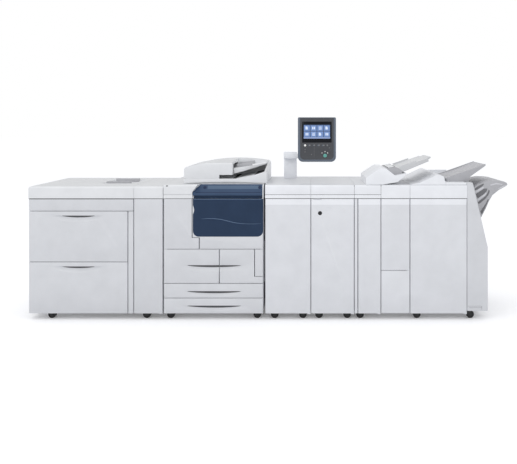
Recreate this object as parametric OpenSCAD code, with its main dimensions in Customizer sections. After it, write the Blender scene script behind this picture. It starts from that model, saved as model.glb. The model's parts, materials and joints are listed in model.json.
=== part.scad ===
// Digital production printer: sheet feeder, print engine with scanner, and a row of finishing modules.
// The row runs along +X from the feeder, the doors face -Y, and the floor is at z = 0.

/* [Feeder] */
// Width of the two-drawer cabinet
feeder_w = 757; // [620:1:900]
// Width of the narrow transfer section beside it
transfer_w = 210; // [150:1:300]
// Depth of the feeder
feeder_d = 735; // [640:5:790]
// Height of the feeder's top
feeder_h = 959; // [940:1:965]
// Underside of the feeder's lid
lid_z = 870; // [845:1:880]
// Top of the upper drawer's front
drawer_top_z = 781; // [700:1:830]
// Line between the two drawers
drawer_split_z = 415; // [330:1:480]
// Width of the fixed strip right of the drawers
strip_w = 42; // [20:1:80]

/* [Print engine] */
// Width of the engine
engine_w = 719; // [660:1:800]
// Depth of the engine
engine_d = 790; // [740:5:900]
// Height of the worktop over the engine and the finishing modules
worktop_h = 971; // [960:1:1010]
// Underside of the worktop's front band, where the doors end
band_z = 871; // [850:1:890]
// Top of the paper trays
tray_top_z = 507; // [480:1:540]
// Line between the tandem trays and tray 3
tandem_z = 260; // [235:1:280]
// Line between trays 3 and 4
tray_3_z = 155; // [145:1:165]
// Width of the left tandem tray
tandem_left_w = 402; // [340:1:440]
// Width of the engine's left door
left_door_w = 257; // [220:1:300]
// How far the blue panel reaches over the left door
blue_overlap = 52; // [20:1:80]
// Underside of the blue panel
blue_z = 590; // [560:1:640]

/* [Finishing modules] */
// Depth of the finishing modules
finish_d = 725; // [650:5:790]
// Width of the decurler
decurler_w = 330; // [280:1:400]
// Width of the punch
punch_w = 313; // [260:1:380]
// Width of the inserter's cabinet
inserter_w = 192; // [160:1:240]
// Width of the folder
folder_w = 209; // [170:1:260]
// Line between the folder's door and its output tray
folder_split_z = 354; // [300:1:420]
// Width of the finisher's door
finisher_w = 412; // [360:1:480]
// Width of the slanted cover at the finisher's end
side_w = 148; // [130:1:180]
// Height at which the slanted cover starts to lean in
side_bend_z = 521; // [440:1:600]
// Reach of the stacker tray beyond the slanted cover
tray_reach = 172; // [140:1:220]
// Gap between the feeder and the engine
feeder_seam = 5; // [3:1:15]
// Gap between the engine and the decurler
engine_seam = 12; // [5:1:25]

/* [Document feeder] */
// Width of the document feeder
dadf_w = 606; // [560:1:640]
// Depth of the document feeder
dadf_d = 560; // [520:5:580]
// Distance of its front from the doors
dadf_set_back = 90; // [70:1:110]
// Thickness of its bottom slab
dadf_slab_t = 35; // [30:1:45]
// Height of the feed head's front over the worktop
dadf_front_h = 153; // [140:1:155]
// Height of the ridge over the worktop
dadf_h = 163; // [159:1:175]
// Width of the feed head
feed_head_w = 354; // [320:1:380]

/* [Control panel] */
// Width of the control panel
ui_w = 301; // [260:1:340]
// Height of the control panel
ui_h = 352; // [310:1:390]
// Thickness of the control panel
ui_t = 38; // [30:1:50]
// Height of the panel's lower edge
ui_z = 1109; // [1095:1:1130]
// Height of the post's top over the panel's lower edge
post_above = 73; // [60:1:90]
// Width of the post
post_w = 103; // [80:1:120]
// Diameter of the start button
start_d = 29; // [20:1:36]
// Travel of the start button
start_travel = 1.5; // [0.5:0.1:2]

/* [Panels and hinges] */
// Thickness of doors and drawer fronts
panel_t = 24; // [20:1:30]
// Thickness of the cabinets' walls
wall = 8; // [5:0.5:12]
// Width of the line between neighbouring fronts
seam = 4; // [2.5:0.5:6]
// Gap behind the doors
door_gap = 3; // [2.5:0.5:6]
// Radius of the fronts' upright edges, round the hinge pins
edge_r = 8; // [6:0.5:10]
// Radius of the doors' hinge pins
pin_r = 4; // [2.5:0.25:5]
// Length of a hinge pin in its door
pin_l = 14; // [8:1:24]
// Radial clearance of pins and axles
pin_clear = 0.05; // [0.02:0.01:0.1]
// Radius along the worktop's front edge
top_r = 16; // [8:1:22]
// Gap under what slides or lifts
slide_gap = 0.3; // [0.2:0.05:0.5]

/* [Handles] */
// Half the width of a feeder drawer's handle
feeder_handle_half = 178; // [140:1:210]
// Half the width of a paper tray's handle
tray_handle_half = 216; // [180:1:240]
// Height of a handle's scoop
scoop_drop = 46; // [36:1:54]
// Depth of a handle's scoop
scoop_depth = 17; // [12:1:19]

/* [Casters] */
// Diameter of a caster's wheel
wheel_d = 56; // [48:1:57]
// Width of a caster's wheel
wheel_w = 26; // [18:1:34]
// Radius of a caster's axle
axle_r = 4; // [3:0.5:6]
// Height of the cabinets' undersides over the floor
base_z = 62; // [61:1:70]
// Height of the doors' lower edges over the floor
skirt_z = 43; // [40:1:48]

/* [Hidden] */
$fn = 48;
// overrun of every cut past the face it opens
over = 1;

// places along the row
line_w = feeder_w + transfer_w + feeder_seam + engine_w + engine_seam + decurler_w + punch_w
    + inserter_w + folder_w + finisher_w + side_w + tray_reach;
feeder_x = -line_w / 2;
transfer_x = feeder_x + feeder_w;
engine_x = transfer_x + transfer_w + feeder_seam;
decurler_x = engine_x + engine_w + engine_seam;
punch_x = decurler_x + decurler_w;
inserter_x = punch_x + punch_w;
folder_x = inserter_x + inserter_w;
finisher_x = folder_x + folder_w;
side_x = finisher_x + finisher_w;
end_x = side_x + side_w;

// places from front to back
front_y = -engine_d / 2;
door_back_y = front_y + panel_t;
face_y = door_back_y + door_gap;

// colours
white = [0.86, 0.87, 0.89];
pale = [0.93, 0.93, 0.95];
grey = [0.69, 0.69, 0.71];
dark = [0.16, 0.16, 0.17];
blue = [0.16, 0.22, 0.32];
light_blue = [0.28, 0.35, 0.46];

// inside the cabinets
liner_depth = 70;
liner_t = 3;
knob_r = 22;
knob_l = 26;
// opening left over the liner, and height of the trim line on the bands
liner_vent = 60;
trim_h = 28;
drawer_wall = 4;
drawer_side_gap = 6;
drawer_head_gap = 18;
drawer_back_gap = 30;

// hinge brackets
bracket_t = 6;
bracket_w = 22;

// points of an arc
function arc(x, y, r, a0, a1, n = 8) =
    [for (i = [0 : n]) [x + r * cos(a0 + (a1 - a0) * i / n), y + r * sin(a0 + (a1 - a0) * i / n)]];

// A front plate with rounded upright edges, standing at the front plane
module front_plate(x, z, w, h, t = panel_t, r = edge_r) {
    translate([x, front_y, z]) linear_extrude(h) {
        translate([r, 0]) square([w - 2 * r, t]);
        translate([0, r]) square([w, t - r]);
        for (side = [r, w - r]) translate([side, r]) circle(r);
    }
}

// The plan outline above, given by the field that it fills, less the seam on every side
module front_in(x0, x1, z0, z1) {
    front_plate(x0 + seam / 2, z0 + seam / 2, x1 - x0 - seam, z1 - z0 - seam);
}

// A lens-shaped finger scoop with a flat upper edge: a ring that bows out of the front plane
module scoop(x, z, half_w, drop = scoop_drop, depth = scoop_depth) {
    section_r = (drop * drop + depth * depth) / (2 * depth);
    ring_r = (half_w * half_w + depth * depth) / (2 * depth) - section_r;
    translate([x, front_y + depth - section_r - ring_r, z]) rotate_extrude($fn = 180)
        intersection() {
            translate([ring_r, 0]) circle(section_r, $fn = 90);
            translate([ring_r, -section_r]) square([section_r, section_r]);
        }
}

// Hollow cabinet, open at the front between z0 and z1
module carcass(x, w, d, top, z0, z1) {
    difference() {
        translate([x, face_y, base_z]) cube([w, front_y + d - face_y, top - base_z]);
        translate([x + wall, face_y - over, z0]) cube([w - 2 * wall, front_y + d - wall - face_y + over, z1 - z0]);
    }
}

// Panel across a cabinet behind its door, with two turning knobs
module liner(x, w, z0, z1) {
    y = face_y + liner_depth;
    translate([x + wall, y, z0]) cube([w - 2 * wall, liner_t, z1 - z0]);
    for (share = [0.3, 0.65])
        translate([x + w / 2, y, z0 + (z1 - z0) * share]) rotate([90, 0, 0]) {
            cylinder(r = knob_r, h = knob_l);
            cylinder(r = knob_r / 2, h = knob_l + knob_r / 2);
        }
}

// Worktop band with a rounded upper front edge
module band(x, w, z0, z1, r = top_r) {
    y1 = face_y + wall;
    translate([x, front_y, z0]) cube([w, y1 - front_y, z1 - z0 - r]);
    translate([x, front_y + r, z0]) cube([w, y1 - front_y - r, z1 - z0]);
    translate([x, front_y + r, z1 - r]) rotate([0, 90, 0]) cylinder(r = r, h = w);
}

// Shadow line cut round a band
line_w_cut = 3;
line_depth = 5;
module shadow_line(x, w, z) {
    translate([x - over, front_y - over, z - line_w_cut / 2]) cube([w + 2 * over, line_depth + over, line_w_cut]);
}

// Hinge pins of a door whose field is x0 to x1, z0 to z1, on its right or left edge
function hinge_x(x0, x1, right, in) = right ? x1 - seam / 2 - in : x0 + seam / 2 + in;
module upper_pin(x0, x1, z1, right = true, in = edge_r, deep = edge_r) {
    translate([hinge_x(x0, x1, right, in), front_y + deep, z1 - seam / 2 - pin_l])
        cylinder(r = pin_r, h = pin_l + seam);
}
// Lower pin on a bracket: a foot under the door and a leg up to the cabinet
module lower_pin(x0, x1, z0, right = true, in = edge_r, deep = edge_r) {
    x = hinge_x(x0, x1, right, in);
    // thin where it lies in the line over another front
    foot_t = z0 > skirt_z ? seam - 2 * slide_gap : bracket_t;
    foot_z = z0 + seam / 2 - slide_gap - foot_t;
    side = right ? x - bracket_w + in : x - in;
    translate([x, front_y + deep, foot_z]) cylinder(r = pin_r, h = foot_t + slide_gap + pin_l);
    translate([side, front_y + deep - pin_r, foot_z])
        cube([bracket_w, face_y + bracket_t - front_y - deep + pin_r, foot_t]);
    translate([side, face_y, foot_z]) cube([bracket_w, bracket_t, max(foot_t, floor_z - foot_z)]);
}

// Door with blind bores for its hinge pins
module door(x0, x1, z0, z1, right = true) {
    difference() {
        front_in(x0, x1, z0, z1);
        hinge_bores(x0, x1, z0, z1, right);
    }
}
module hinge_bores(x0, x1, z0, z1, right = true, in = edge_r, deep = edge_r) {
    depth = pin_l + slide_gap;
    for (z = [z0 + seam / 2 - over, z1 - seam / 2 - depth])
        translate([hinge_x(x0, x1, right, in), front_y + deep, z])
            cylinder(r = pin_r + pin_clear, h = depth + over);
}

// Open-topped drawer body behind a front; its bay is x0 to x1 and z0 to z1
module drawer_body(x0, x1, z0, z1, back_y) {
    w = x1 - x0 - 2 * drawer_side_gap;
    h = z1 - z0 - drawer_head_gap;
    d = back_y - drawer_back_gap - door_back_y;
    translate([x0 + drawer_side_gap, door_back_y - over, z0 + slide_gap]) difference() {
        cube([w, d + over, h]);
        translate([drawer_wall, drawer_wall + over, drawer_wall])
            cube([w - 2 * drawer_wall, d - 2 * drawer_wall, h]);
    }
}

// Feeder
feeder_back_y = front_y + feeder_d;
shelf_t = 8;
lid_gap = 6;
bypass_x_share = 0.46;
bypass_w = 250;
bypass_d = 330;
bypass_recess = 14;
guide_w = 190;
guide_h = 12;
guide_t = 10;
guide_travel = 90;
guide_shut = 30;
guide_rest = guide_travel + guide_shut;
bypass_from_front = 210;
bypass_y = face_y + bypass_from_front;
floor_z = base_z + wall;

module feeder_cabinet() color(white) {
    back = feeder_back_y;
    carcass(feeder_x, feeder_w + transfer_w, feeder_d, lid_z - lid_gap, floor_z, lid_z - lid_gap - wall);
    // fixed band and strip round the drawers
    front_in(feeder_x, transfer_x, drawer_top_z, lid_z);
    translate([feeder_x + seam, door_back_y - over, drawer_top_z + seam])
        cube([feeder_w - 2 * seam, door_gap + wall + over, lid_z - lid_gap - drawer_top_z - seam]);
    front_in(transfer_x - strip_w, transfer_x, skirt_z, drawer_top_z);
    translate([transfer_x - strip_w + seam, door_back_y - over, floor_z])
        cube([strip_w - 2 * seam, door_gap + wall + over, drawer_top_z - floor_z]);
    // partition, shelf and the head over the upper drawer
    translate([transfer_x - wall / 2, face_y, floor_z - over])
        cube([wall, back - face_y - over, lid_z - lid_gap - wall - floor_z + 2 * over]);
    for (z = [drawer_split_z - shelf_t / 2, drawer_top_z - shelf_t / 2])
        translate([feeder_x + over, face_y, z]) cube([feeder_w - over, back - face_y - over, shelf_t]);
    translate([transfer_x - strip_w, face_y, floor_z - over])
        cube([wall, back - face_y - over, drawer_top_z - floor_z + 2 * over]);
    liner(transfer_x - wall, transfer_w + wall, floor_z - over, lid_z - lid_gap - wall + over);
    lower_pin(transfer_x, transfer_x + transfer_w, skirt_z);
}

module feeder_top_cover() color(pale) {
    upper_pin(transfer_x, transfer_x + transfer_w, lid_z);
    w = feeder_w + transfer_w;
    h = feeder_h - lid_z;
    tray_x = feeder_x + w * bypass_x_share;
    difference() {
        union() {
            band(feeder_x, w, lid_z, feeder_h);
            translate([feeder_x, face_y, lid_z - lid_gap]) cube([w, feeder_back_y - face_y, h + lid_gap - top_r]);
            translate([feeder_x + top_r, face_y, feeder_h - top_r - over])
                cube([w - top_r, feeder_back_y - face_y, top_r + over]);
            translate([feeder_x + top_r, front_y + top_r, feeder_h - top_r]) rotate([-90, 0, 0])
                cylinder(r = top_r, h = feeder_back_y - front_y - top_r);
        }
        // hollow under the lid
        translate([feeder_x + wall, face_y + 2 * wall, lid_z - lid_gap - over])
            cube([w - 2 * wall, feeder_back_y - face_y - 3 * wall, h + lid_gap - bypass_recess - wall + over]);
        // recess of the bypass tray
        translate([tray_x, bypass_y, feeder_h - bypass_recess]) cube([bypass_w, bypass_d, bypass_recess + over]);
        // line between the drawer cabinet's lid and the transfer section
        translate([transfer_x, front_y - over, lid_z - over])
            cube([line_w_cut, line_depth + over, h + 2 * over]);
        translate([transfer_x, front_y - over, feeder_h - line_depth])
            cube([line_w_cut, feeder_d + 2 * over, line_depth + over]);
        // upper corner of the band over the left end
        translate([feeder_x - over, front_y - over, feeder_h - top_r]) difference() {
            cube([top_r + over, face_y + 2 * wall - front_y, top_r + over]);
            translate([top_r + over, -over, 0]) rotate([-90, 0, 0]) cylinder(r = top_r, h = feeder_d);
        }
    }
}

module feeder_drawer(z0, z1, floor) {
    difference() {
        front_in(feeder_x, transfer_x - strip_w, z0, z1);
        scoop(feeder_x + (feeder_w - strip_w) / 2, z1 - handle_drop, feeder_handle_half);
    }
    drawer_body(feeder_x + wall, transfer_x - strip_w, floor, z1 - shelf_t / 2, feeder_back_y - wall);
}
handle_drop = 32;
module feeder_upper_drawer() color(white)
    feeder_drawer(drawer_split_z, drawer_top_z, drawer_split_z + shelf_t / 2);
module feeder_lower_drawer() color(white)
    feeder_drawer(skirt_z, drawer_split_z, floor_z);

module transfer_door() color(white)
    door(transfer_x, transfer_x + transfer_w, skirt_z, lid_z);

// Guides of the bypass tray: they close on the sheet from both sides
module bypass_guide(side) {
    tray_x = feeder_x + (feeder_w + transfer_w) * bypass_x_share;
    y = bypass_y + bypass_d / 2 + side * guide_rest;
    z = feeder_h - bypass_recess + slide_gap;
    x = tray_x + (bypass_w - guide_w) / 2;
    translate([x, y - guide_t / 2, z]) cube([guide_w, guide_t, guide_h + bypass_recess]);
    translate([x + guide_w / 4, y - (side > 0 ? 2 * guide_t : 0), z]) cube([guide_w / 2, 2 * guide_t, guide_t / 4]);
}
module bypass_guide_front() color(grey) bypass_guide(-1);
module bypass_guide_rear() color(grey) bypass_guide(1);

// Print engine
engine_back_y = front_y + engine_d;
engine_end_x = engine_x + engine_w;
dadf_past_engine = 17;
dadf_x = engine_end_x + dadf_past_engine - dadf_w;
tandem_x = engine_x + tandem_left_w;
right_door_x = engine_x + left_door_w;
blue_x = right_door_x - blue_overlap;
blue_t = 10;
blue_r = 42;
blue_rim = 5;
blue_gap = 0.3;
blue_pin_in = 7;
blue_pin_deep = 15;
small_panel_w = 64;
small_panel_z = 310;
tray_handle_from_left = 364;
tray_handle_x = engine_x + tray_handle_from_left;
tandem_handle_z = 392;
tray_3_handle_z = 205;
tray_4_handle_z = 101;
bay_depth = 330;
rail_t = 10;
rail_h = 90;
drum_share = 0.612;
drum_x = engine_x + engine_w * drum_share;
drum_z = 690;
drum_r = 42;
shaft_r = 10;
fuser_from_left = 110;
fuser_x = engine_x + fuser_from_left;
fuser_w = 190;
fuser_h = 130;
fuser_r = 28;

// plates that join the engine to the modules beside it
dock_from_front = 60;
dock_y = face_y + dock_from_front;
dock_d = 500;
dock_z = 250;
dock_h = 300;
module engine_cabinet() color(white) {
    translate([engine_x - feeder_seam + slide_gap, dock_y, dock_z]) cube([feeder_seam - slide_gap + over, dock_d, dock_h]);
    translate([engine_end_x - over, dock_y, dock_z]) cube([engine_seam - slide_gap + over, dock_d, dock_h]);
    back = engine_back_y;
    bay_y = face_y + bay_depth;
    carcass(engine_x, engine_w, engine_d, band_z - seam, floor_z, band_z - seam - wall);
    // shelves between the trays, and the floor of the marking bay
    for (z = [tray_3_z, tandem_z, tray_top_z])
        translate([engine_x + over, face_y, z - shelf_t / 2])
            cube([engine_w - 2 * over, back - face_y - over, shelf_t]);
    // post between the tandem trays
    translate([tandem_x - wall / 2, face_y, tandem_z]) cube([wall, back - face_y - over, tray_top_z - tandem_z]);
    // small fixed panel right of the tandem trays
    front_in(engine_end_x - small_panel_w, engine_end_x, small_panel_z, tray_top_z);
    translate([engine_end_x - small_panel_w + seam, door_back_y - over, small_panel_z + seam])
        cube([small_panel_w - 2 * seam, door_gap + wall + over, tray_top_z - small_panel_z - 2 * seam]);
    translate([engine_end_x - small_panel_w, face_y, tandem_z])
        cube([wall, back - face_y - over, tray_top_z - tandem_z]);
    difference() {
        union() {
            translate([engine_x + over, bay_y, tray_top_z])
                cube([engine_w - 2 * over, wall, band_z - seam - wall - tray_top_z + over]);
            translate([engine_x + over, face_y + wall, drum_z - rail_h / 2])
                cube([engine_w - 2 * over, rail_t, rail_h]);
        }
        translate([drum_x, face_y, drum_z]) rotate([-90, 0, 0])
            cylinder(r = shaft_r + pin_clear, h = bay_depth + wall + over);
    }
    // lower pins of both doors, each on a foot let into the trays' fronts
    lower_pin(engine_x, right_door_x, tray_top_z, false);
    lower_pin(right_door_x, engine_end_x, tray_top_z, true, blue_pin_in, blue_pin_deep);
}

// Left door: it steps back beside the blue panel
module engine_left_door() color(white) {
    z1 = band_z;
    difference() {
        front_in(engine_x, right_door_x, tray_top_z, z1);
        translate([blue_x - seam / 2, front_y - over, blue_z - seam / 2])
            cube([right_door_x - blue_x + seam, panel_t + 2 * over, band_z - blue_z]);
        hinge_bores(engine_x, right_door_x, tray_top_z, z1, false);
    }
}

// Right door: a white frame that carries the blue panel in a shallow recess
module engine_right_door() color(white) difference() {
    union() {
        front_in(right_door_x, engine_end_x, tray_top_z, band_z);
        front_in(blue_x, engine_end_x, blue_z, band_z);
    }
    front_extrude(front_y - over, blue_t + over) blue_outline(-blue_gap);
    hinge_bores(right_door_x, engine_end_x, tray_top_z, band_z, true, blue_pin_in, blue_pin_deep);
}

// Blue panel with rounded lower corners, a finger notch and an embossed wave
notch_z = 790;
notch_r = 60;
notch_in = 9;
wave_z = 722;
wave_w = 3;
wave_deep = 1;
wave_n = 7;
wave_in = 40;
wave_drop = 22;
module blue_outline(inset = 0) {
    x0 = blue_x + seam / 2 + blue_rim + inset;
    x1 = engine_end_x - seam / 2 - inset;
    z0 = blue_z + seam / 2 + blue_rim + inset;
    z1 = band_z - seam / 2 - inset;
    r = blue_r - inset;
    difference() {
        union() {
            translate([x0 + r, z0]) square([x1 - x0 - 2 * r, z1 - z0]);
            translate([x0, z0 + r]) square([x1 - x0, z1 - z0 - r]);
            for (x = [x0 + r, x1 - r]) translate([x, z0 + r]) circle(r);
        }
        translate([x0 + notch_in - notch_r, notch_z]) circle(notch_r);
    }
}
function wave(t) = [
    blue_x + wave_in + (engine_end_x - blue_x - 2 * wave_in) * t,
    wave_z - wave_drop * (3 * t * t - 2 * t * t * t)
];
module blue_panel() color(blue) {
    difference() {
        front_extrude(front_y, blue_t) blue_outline();
        // embossed wave
        for (i = [0 : wave_n - 1]) hull() for (p = [wave(i / wave_n), wave((i + 1) / wave_n)])
            translate([p[0], front_y, p[1]]) rotate([-90, 0, 0]) cylinder(r = wave_w / 2, h = wave_deep, $fn = 12);
    }
}

// Sloped cover over the toner cartridges
toner_gap = 22;
groove_d = 15;
toner_slope = 62;
toner_t = 12;
cut_r0 = 20;
cut_r1 = 108;
cut_l = 64;
toner_x1 = engine_end_x - 2 * seam;
toner_rod_in = 7.5;
// Cone round the cover's hinge rod: it cuts the cover's corner, and the housing stays outside it
module corner_cone(x) {
    translate([x, front_y + toner_rod_in, band_z + toner_gap + toner_t / 2]) rotate([0, 90, 0])
        cylinder(r1 = cut_r0, r2 = cut_r1, h = cut_l, $fn = 96);
}
module toner_cover() color(light_blue) {
    z0 = band_z + toner_gap;
    z1 = worktop_h - toner_t / 4;
    x0 = blue_x + seam;
    difference() {
        translate([x0, 0, 0]) rotate([90, 0, 90]) linear_extrude(toner_x1 - x0) polygon([
            [front_y, z0], [front_y, z0 + toner_t], [front_y + toner_slope, z1], [front_y + toner_slope + toner_t, z1],
            [front_y + toner_slope + toner_t, z1 - toner_t], [front_y + toner_t, z0]
        ]);
        // cut corner at the left end
        difference() {
            translate([x0 - over, front_y - over, z0 - over])
                cube([cut_l + over, toner_slope + toner_t + 2 * over, z1 - z0 + 2 * over]);
            corner_cone(x0);
        }
        // bore of the hinge rod along the lower edge
        translate([x0 - over, front_y + toner_rod_in, z0 + toner_t / 2]) rotate([0, 90, 0])
            cylinder(r = toner_pin_r + pin_clear, h = toner_x1 - x0 + 2 * over);
    }
}
toner_pin_r = 2.5;

// Scanner: the worktop block with the glass and the pocket of the toner cartridges
glass_in = 100;
glass_out = 66;
glass_w = dadf_w - glass_in - glass_out;
glass_d = 306;
glass_t = 4;
glass_x = dadf_x + glass_in;
glass_from_front = 330;
glass_y = front_y + glass_from_front;
glass_ledge = 10;
scan_depth = 55;
pocket_d = 290;
module scanner_housing() color(pale) {
    h = worktop_h - band_z;
    pocket_x = blue_x + seam / 2;
    pocket_z = band_z + toner_gap;
    front_d = toner_slope + toner_t + over + slide_gap;
    difference() {
        union() {
            band(engine_x, engine_w, band_z, worktop_h);
            translate([engine_x, face_y, band_z - seam]) cube([engine_w, engine_back_y - face_y, h + seam]);
        }
        // pocket behind the sloped cover
        intersection() {
            translate([pocket_x, front_y - over, pocket_z]) cube([cut_l + over, front_d, h]);
            corner_cone(pocket_x);
        }
        translate([pocket_x + cut_l - over, front_y - over, pocket_z])
            cube([toner_x1 + seam / 2 - pocket_x - cut_l + over, front_d, h]);
        translate([pocket_x, front_y + toner_slope + toner_t, pocket_z])
            cube([toner_x1 + seam / 2 - pocket_x, pocket_d - toner_slope - toner_t, h - toner_gap - wall]);
        // finger groove under the cover
        translate([pocket_x, front_y - over, band_z - over])
            cube([toner_x1 + seam / 2 - pocket_x, groove_d + over, toner_gap + 2 * over]);
        // seat and well of the glass
        translate([glass_x, glass_y, worktop_h - glass_t]) cube([glass_w, glass_d, glass_t + over]);
        translate([glass_x + glass_ledge, glass_y + glass_ledge, worktop_h - scan_depth])
            cube([glass_w - 2 * glass_ledge, glass_d - 2 * glass_ledge, scan_depth + over]);
        shadow_line(engine_x, blue_x - engine_x, band_z + trim_h);
        // hollow beside and behind the glass
        translate([engine_x + wall, face_y + 2 * wall, band_z - seam - over])
            cube([pocket_x - engine_x - 2 * wall, engine_back_y - face_y - 3 * wall, h + seam - wall + over]);
        translate([pocket_x, glass_y + glass_d + wall, band_z - seam - over])
            cube([engine_end_x - wall - pocket_x, engine_back_y - glass_y - glass_d - 2 * wall, h + seam - wall + over]);
    }
    upper_pin(engine_x, right_door_x, band_z, false);
    upper_pin(right_door_x, engine_end_x, band_z, true, blue_pin_in, blue_pin_deep);
    // hinge rod of the sloped cover
    translate([pocket_x - over, front_y + toner_rod_in, band_z + toner_gap + toner_t / 2]) rotate([0, 90, 0])
        cylinder(r = toner_pin_r, h = toner_x1 + seam / 2 - pocket_x + 2 * over);
    // hinge posts of the document feeder
    for (x = dadf_hinge_xs) {
        translate([x - hinge_post_w / 2, dadf_hinge_y - hinge_post_r + over, worktop_h - over])
            cube([hinge_post_w, 2 * hinge_post_r - 2 * over, dadf_hinge_h + over]);
        translate([x - hinge_post_w / 2, dadf_hinge_y, worktop_h + dadf_hinge_h]) rotate([0, 90, 0])
            cylinder(r = hinge_post_r, h = hinge_post_w);
        translate([x - hinge_post_w / 2 - ear_t, dadf_hinge_y, worktop_h + dadf_hinge_h]) rotate([0, 90, 0])
            cylinder(r = dadf_pin_r, h = hinge_post_w + 2 * ear_t);
    }
}
module platen_glass() color([0.5, 0.6, 0.62, 0.5])
    translate([glass_x + slide_gap, glass_y + slide_gap, worktop_h - glass_t])
        cube([glass_w - 2 * slide_gap, glass_d - 2 * slide_gap, glass_t - slide_gap]);

cartridge_r = 27;
cartridge_l = 190;
cartridge_xs = [for (share = [0.25, 0.5, 0.75]) blue_x + (toner_x1 - blue_x) * share];
module toner_cartridges() color(dark)
    for (x = cartridge_xs)
        translate([x, front_y + pocket_d - slide_gap, band_z + toner_gap + cartridge_r + slide_gap]) rotate([90, 0, 0]) {
            cylinder(r = cartridge_r, h = cartridge_l);
            translate([-cartridge_r / 4, -cartridge_r / 2, cartridge_l - over])
                cube([cartridge_r / 2, cartridge_r, cartridge_r / 2]);
        }

module photoreceptor_drum() color([0.3, 0.5, 0.45]) {
    y0 = face_y + wall + rail_t + slide_gap;
    y1 = face_y + bay_depth - slide_gap;
    translate([drum_x, y0, drum_z]) rotate([-90, 0, 0]) cylinder(r = drum_r, h = y1 - y0);
    translate([drum_x, face_y + wall, drum_z]) rotate([-90, 0, 0])
        cylinder(r = shaft_r, h = bay_depth);
}

module fuser_unit() color(dark) {
    y0 = face_y + wall + rail_t + slide_gap;
    l = bay_depth - wall - rail_t - 2 * slide_gap;
    z = tray_top_z + shelf_t / 2 + slide_gap;
    difference() {
        translate([fuser_x, y0, z]) cube([fuser_w, l, fuser_h]);
        translate([fuser_x - over, y0 + wall, z + fuser_h * 0.3]) cube([fuser_w / 3, l - 2 * wall, fuser_h * 0.4]);
    }
    for (share = [0.35, 0.72])
        translate([fuser_x + fuser_w * share, y0 + over, z + fuser_h / 2]) rotate([90, 0, 0])
            cylinder(r = fuser_r, h = rail_t / 2 + over);
}

// Paper trays
module tandem_tray_left() color(white) {
    difference() {
        front_in(engine_x, tandem_x, tandem_z, tray_top_z);
        scoop(tray_handle_x, tandem_handle_z, tray_handle_half);
    }
    drawer_body(engine_x + wall, tandem_x - wall / 2, tandem_z + shelf_t / 2, tray_top_z, engine_back_y - wall);
}
module tandem_tray_right() color(white) {
    difference() {
        front_in(tandem_x, engine_end_x, tandem_z, tray_top_z);
        translate([engine_end_x - small_panel_w - seam / 2, front_y - over, small_panel_z - seam / 2])
            cube([small_panel_w + over, panel_t + 2 * over, tray_top_z]);
        scoop(tray_handle_x, tandem_handle_z, tray_handle_half);
    }
    drawer_body(tandem_x + wall / 2, engine_end_x - small_panel_w, tandem_z + shelf_t / 2, tray_top_z,
        engine_back_y - wall);
}
module low_tray(z0, z1, handle_z, floor) {
    difference() {
        front_in(engine_x, engine_end_x, z0, z1);
        scoop(tray_handle_x, handle_z, tray_handle_half, scoop_drop * 0.7);
    }
    drawer_body(engine_x + wall, engine_end_x - wall, floor, z1, engine_back_y - wall);
}
module paper_tray_3() color(white) low_tray(tray_3_z, tandem_z, tray_3_handle_z, tray_3_z + shelf_t / 2);
module paper_tray_4() color(white) low_tray(skirt_z, tray_3_z, tray_4_handle_z, floor_z);

// Document feeder
dadf_y = front_y + dadf_set_back;
dadf_z = worktop_h + slide_gap;
dadf_back_y = dadf_y + dadf_d;
mouth_w = 95;
mouth_h = 28;
hinge_in = 110;
crown_r = 1400;
brow_r = 260;
brow_in = 220;
brow_angle = 102;
nose_r = 14;
lip_w = 176;
lip_h = 50;
ridge_d = 135;
ridge_y = dadf_back_y - ridge_d;
dadf_hinge_xs = [dadf_x + hinge_in, dadf_x + dadf_w - hinge_in];
hinge_post_w = 36;
hinge_post_r = 13;
dadf_hinge_out = 20;
dadf_hinge_y = dadf_back_y + dadf_hinge_out;
dadf_hinge_h = 30;
dadf_pin_r = 6;
ear_t = 12;
cheek_t = 18;
cheek_drop = 40;
head_r = 22;
crown_x = dadf_x + feed_head_w;
crown_z = worktop_h + dadf_h - crown_r;
module side_extrude(x, w) { translate([x, 0, 0]) rotate([90, 0, 90]) linear_extrude(w) children(); }
module front_extrude(y, d) { translate([0, y + d, 0]) rotate([90, 0, 0]) linear_extrude(d) children(); }

head_pin_r = 4;
head_pin_from_left = 16;
head_pin_x = dadf_x + head_pin_from_left;
head_pin_above = 17;
head_pin_z = dadf_z + dadf_slab_t + head_pin_above;
lug_t = 8;
lug_in = 30;
lug_ys = [dadf_y + lug_in, ridge_y - lug_in];

// Outline under the crown's arc, with a rounded corner at the left and, if asked, at the right
module crowned(x0, x1, foot, inset = 0, right = true) {
    big = crown_r - inset;
    r = head_r - inset;
    spans = [crown_x - x0 - r, x1 - r - crown_x];
    zs = [for (span = spans) crown_z + sqrt((big - r) * (big - r) - span * span)];
    ins = [for (span = spans) r - r * span / (big - r)];
    intersection() {
        union() {
            translate([x0, foot]) square([r, zs[0] - foot]);
            translate([x0 + r, zs[0]]) circle(r);
            translate([x0 + ins[0], foot]) square([x1 - x0 - ins[0] - (right ? ins[1] : 0), crown_z + crown_r - foot]);
            if (right) {
                translate([x1 - r, foot]) square([r, zs[1] - foot]);
                translate([x1 - r, zs[1]]) circle(r);
            }
        }
        translate([crown_x, crown_z]) circle(big, $fn = 360);
    }
}

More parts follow.
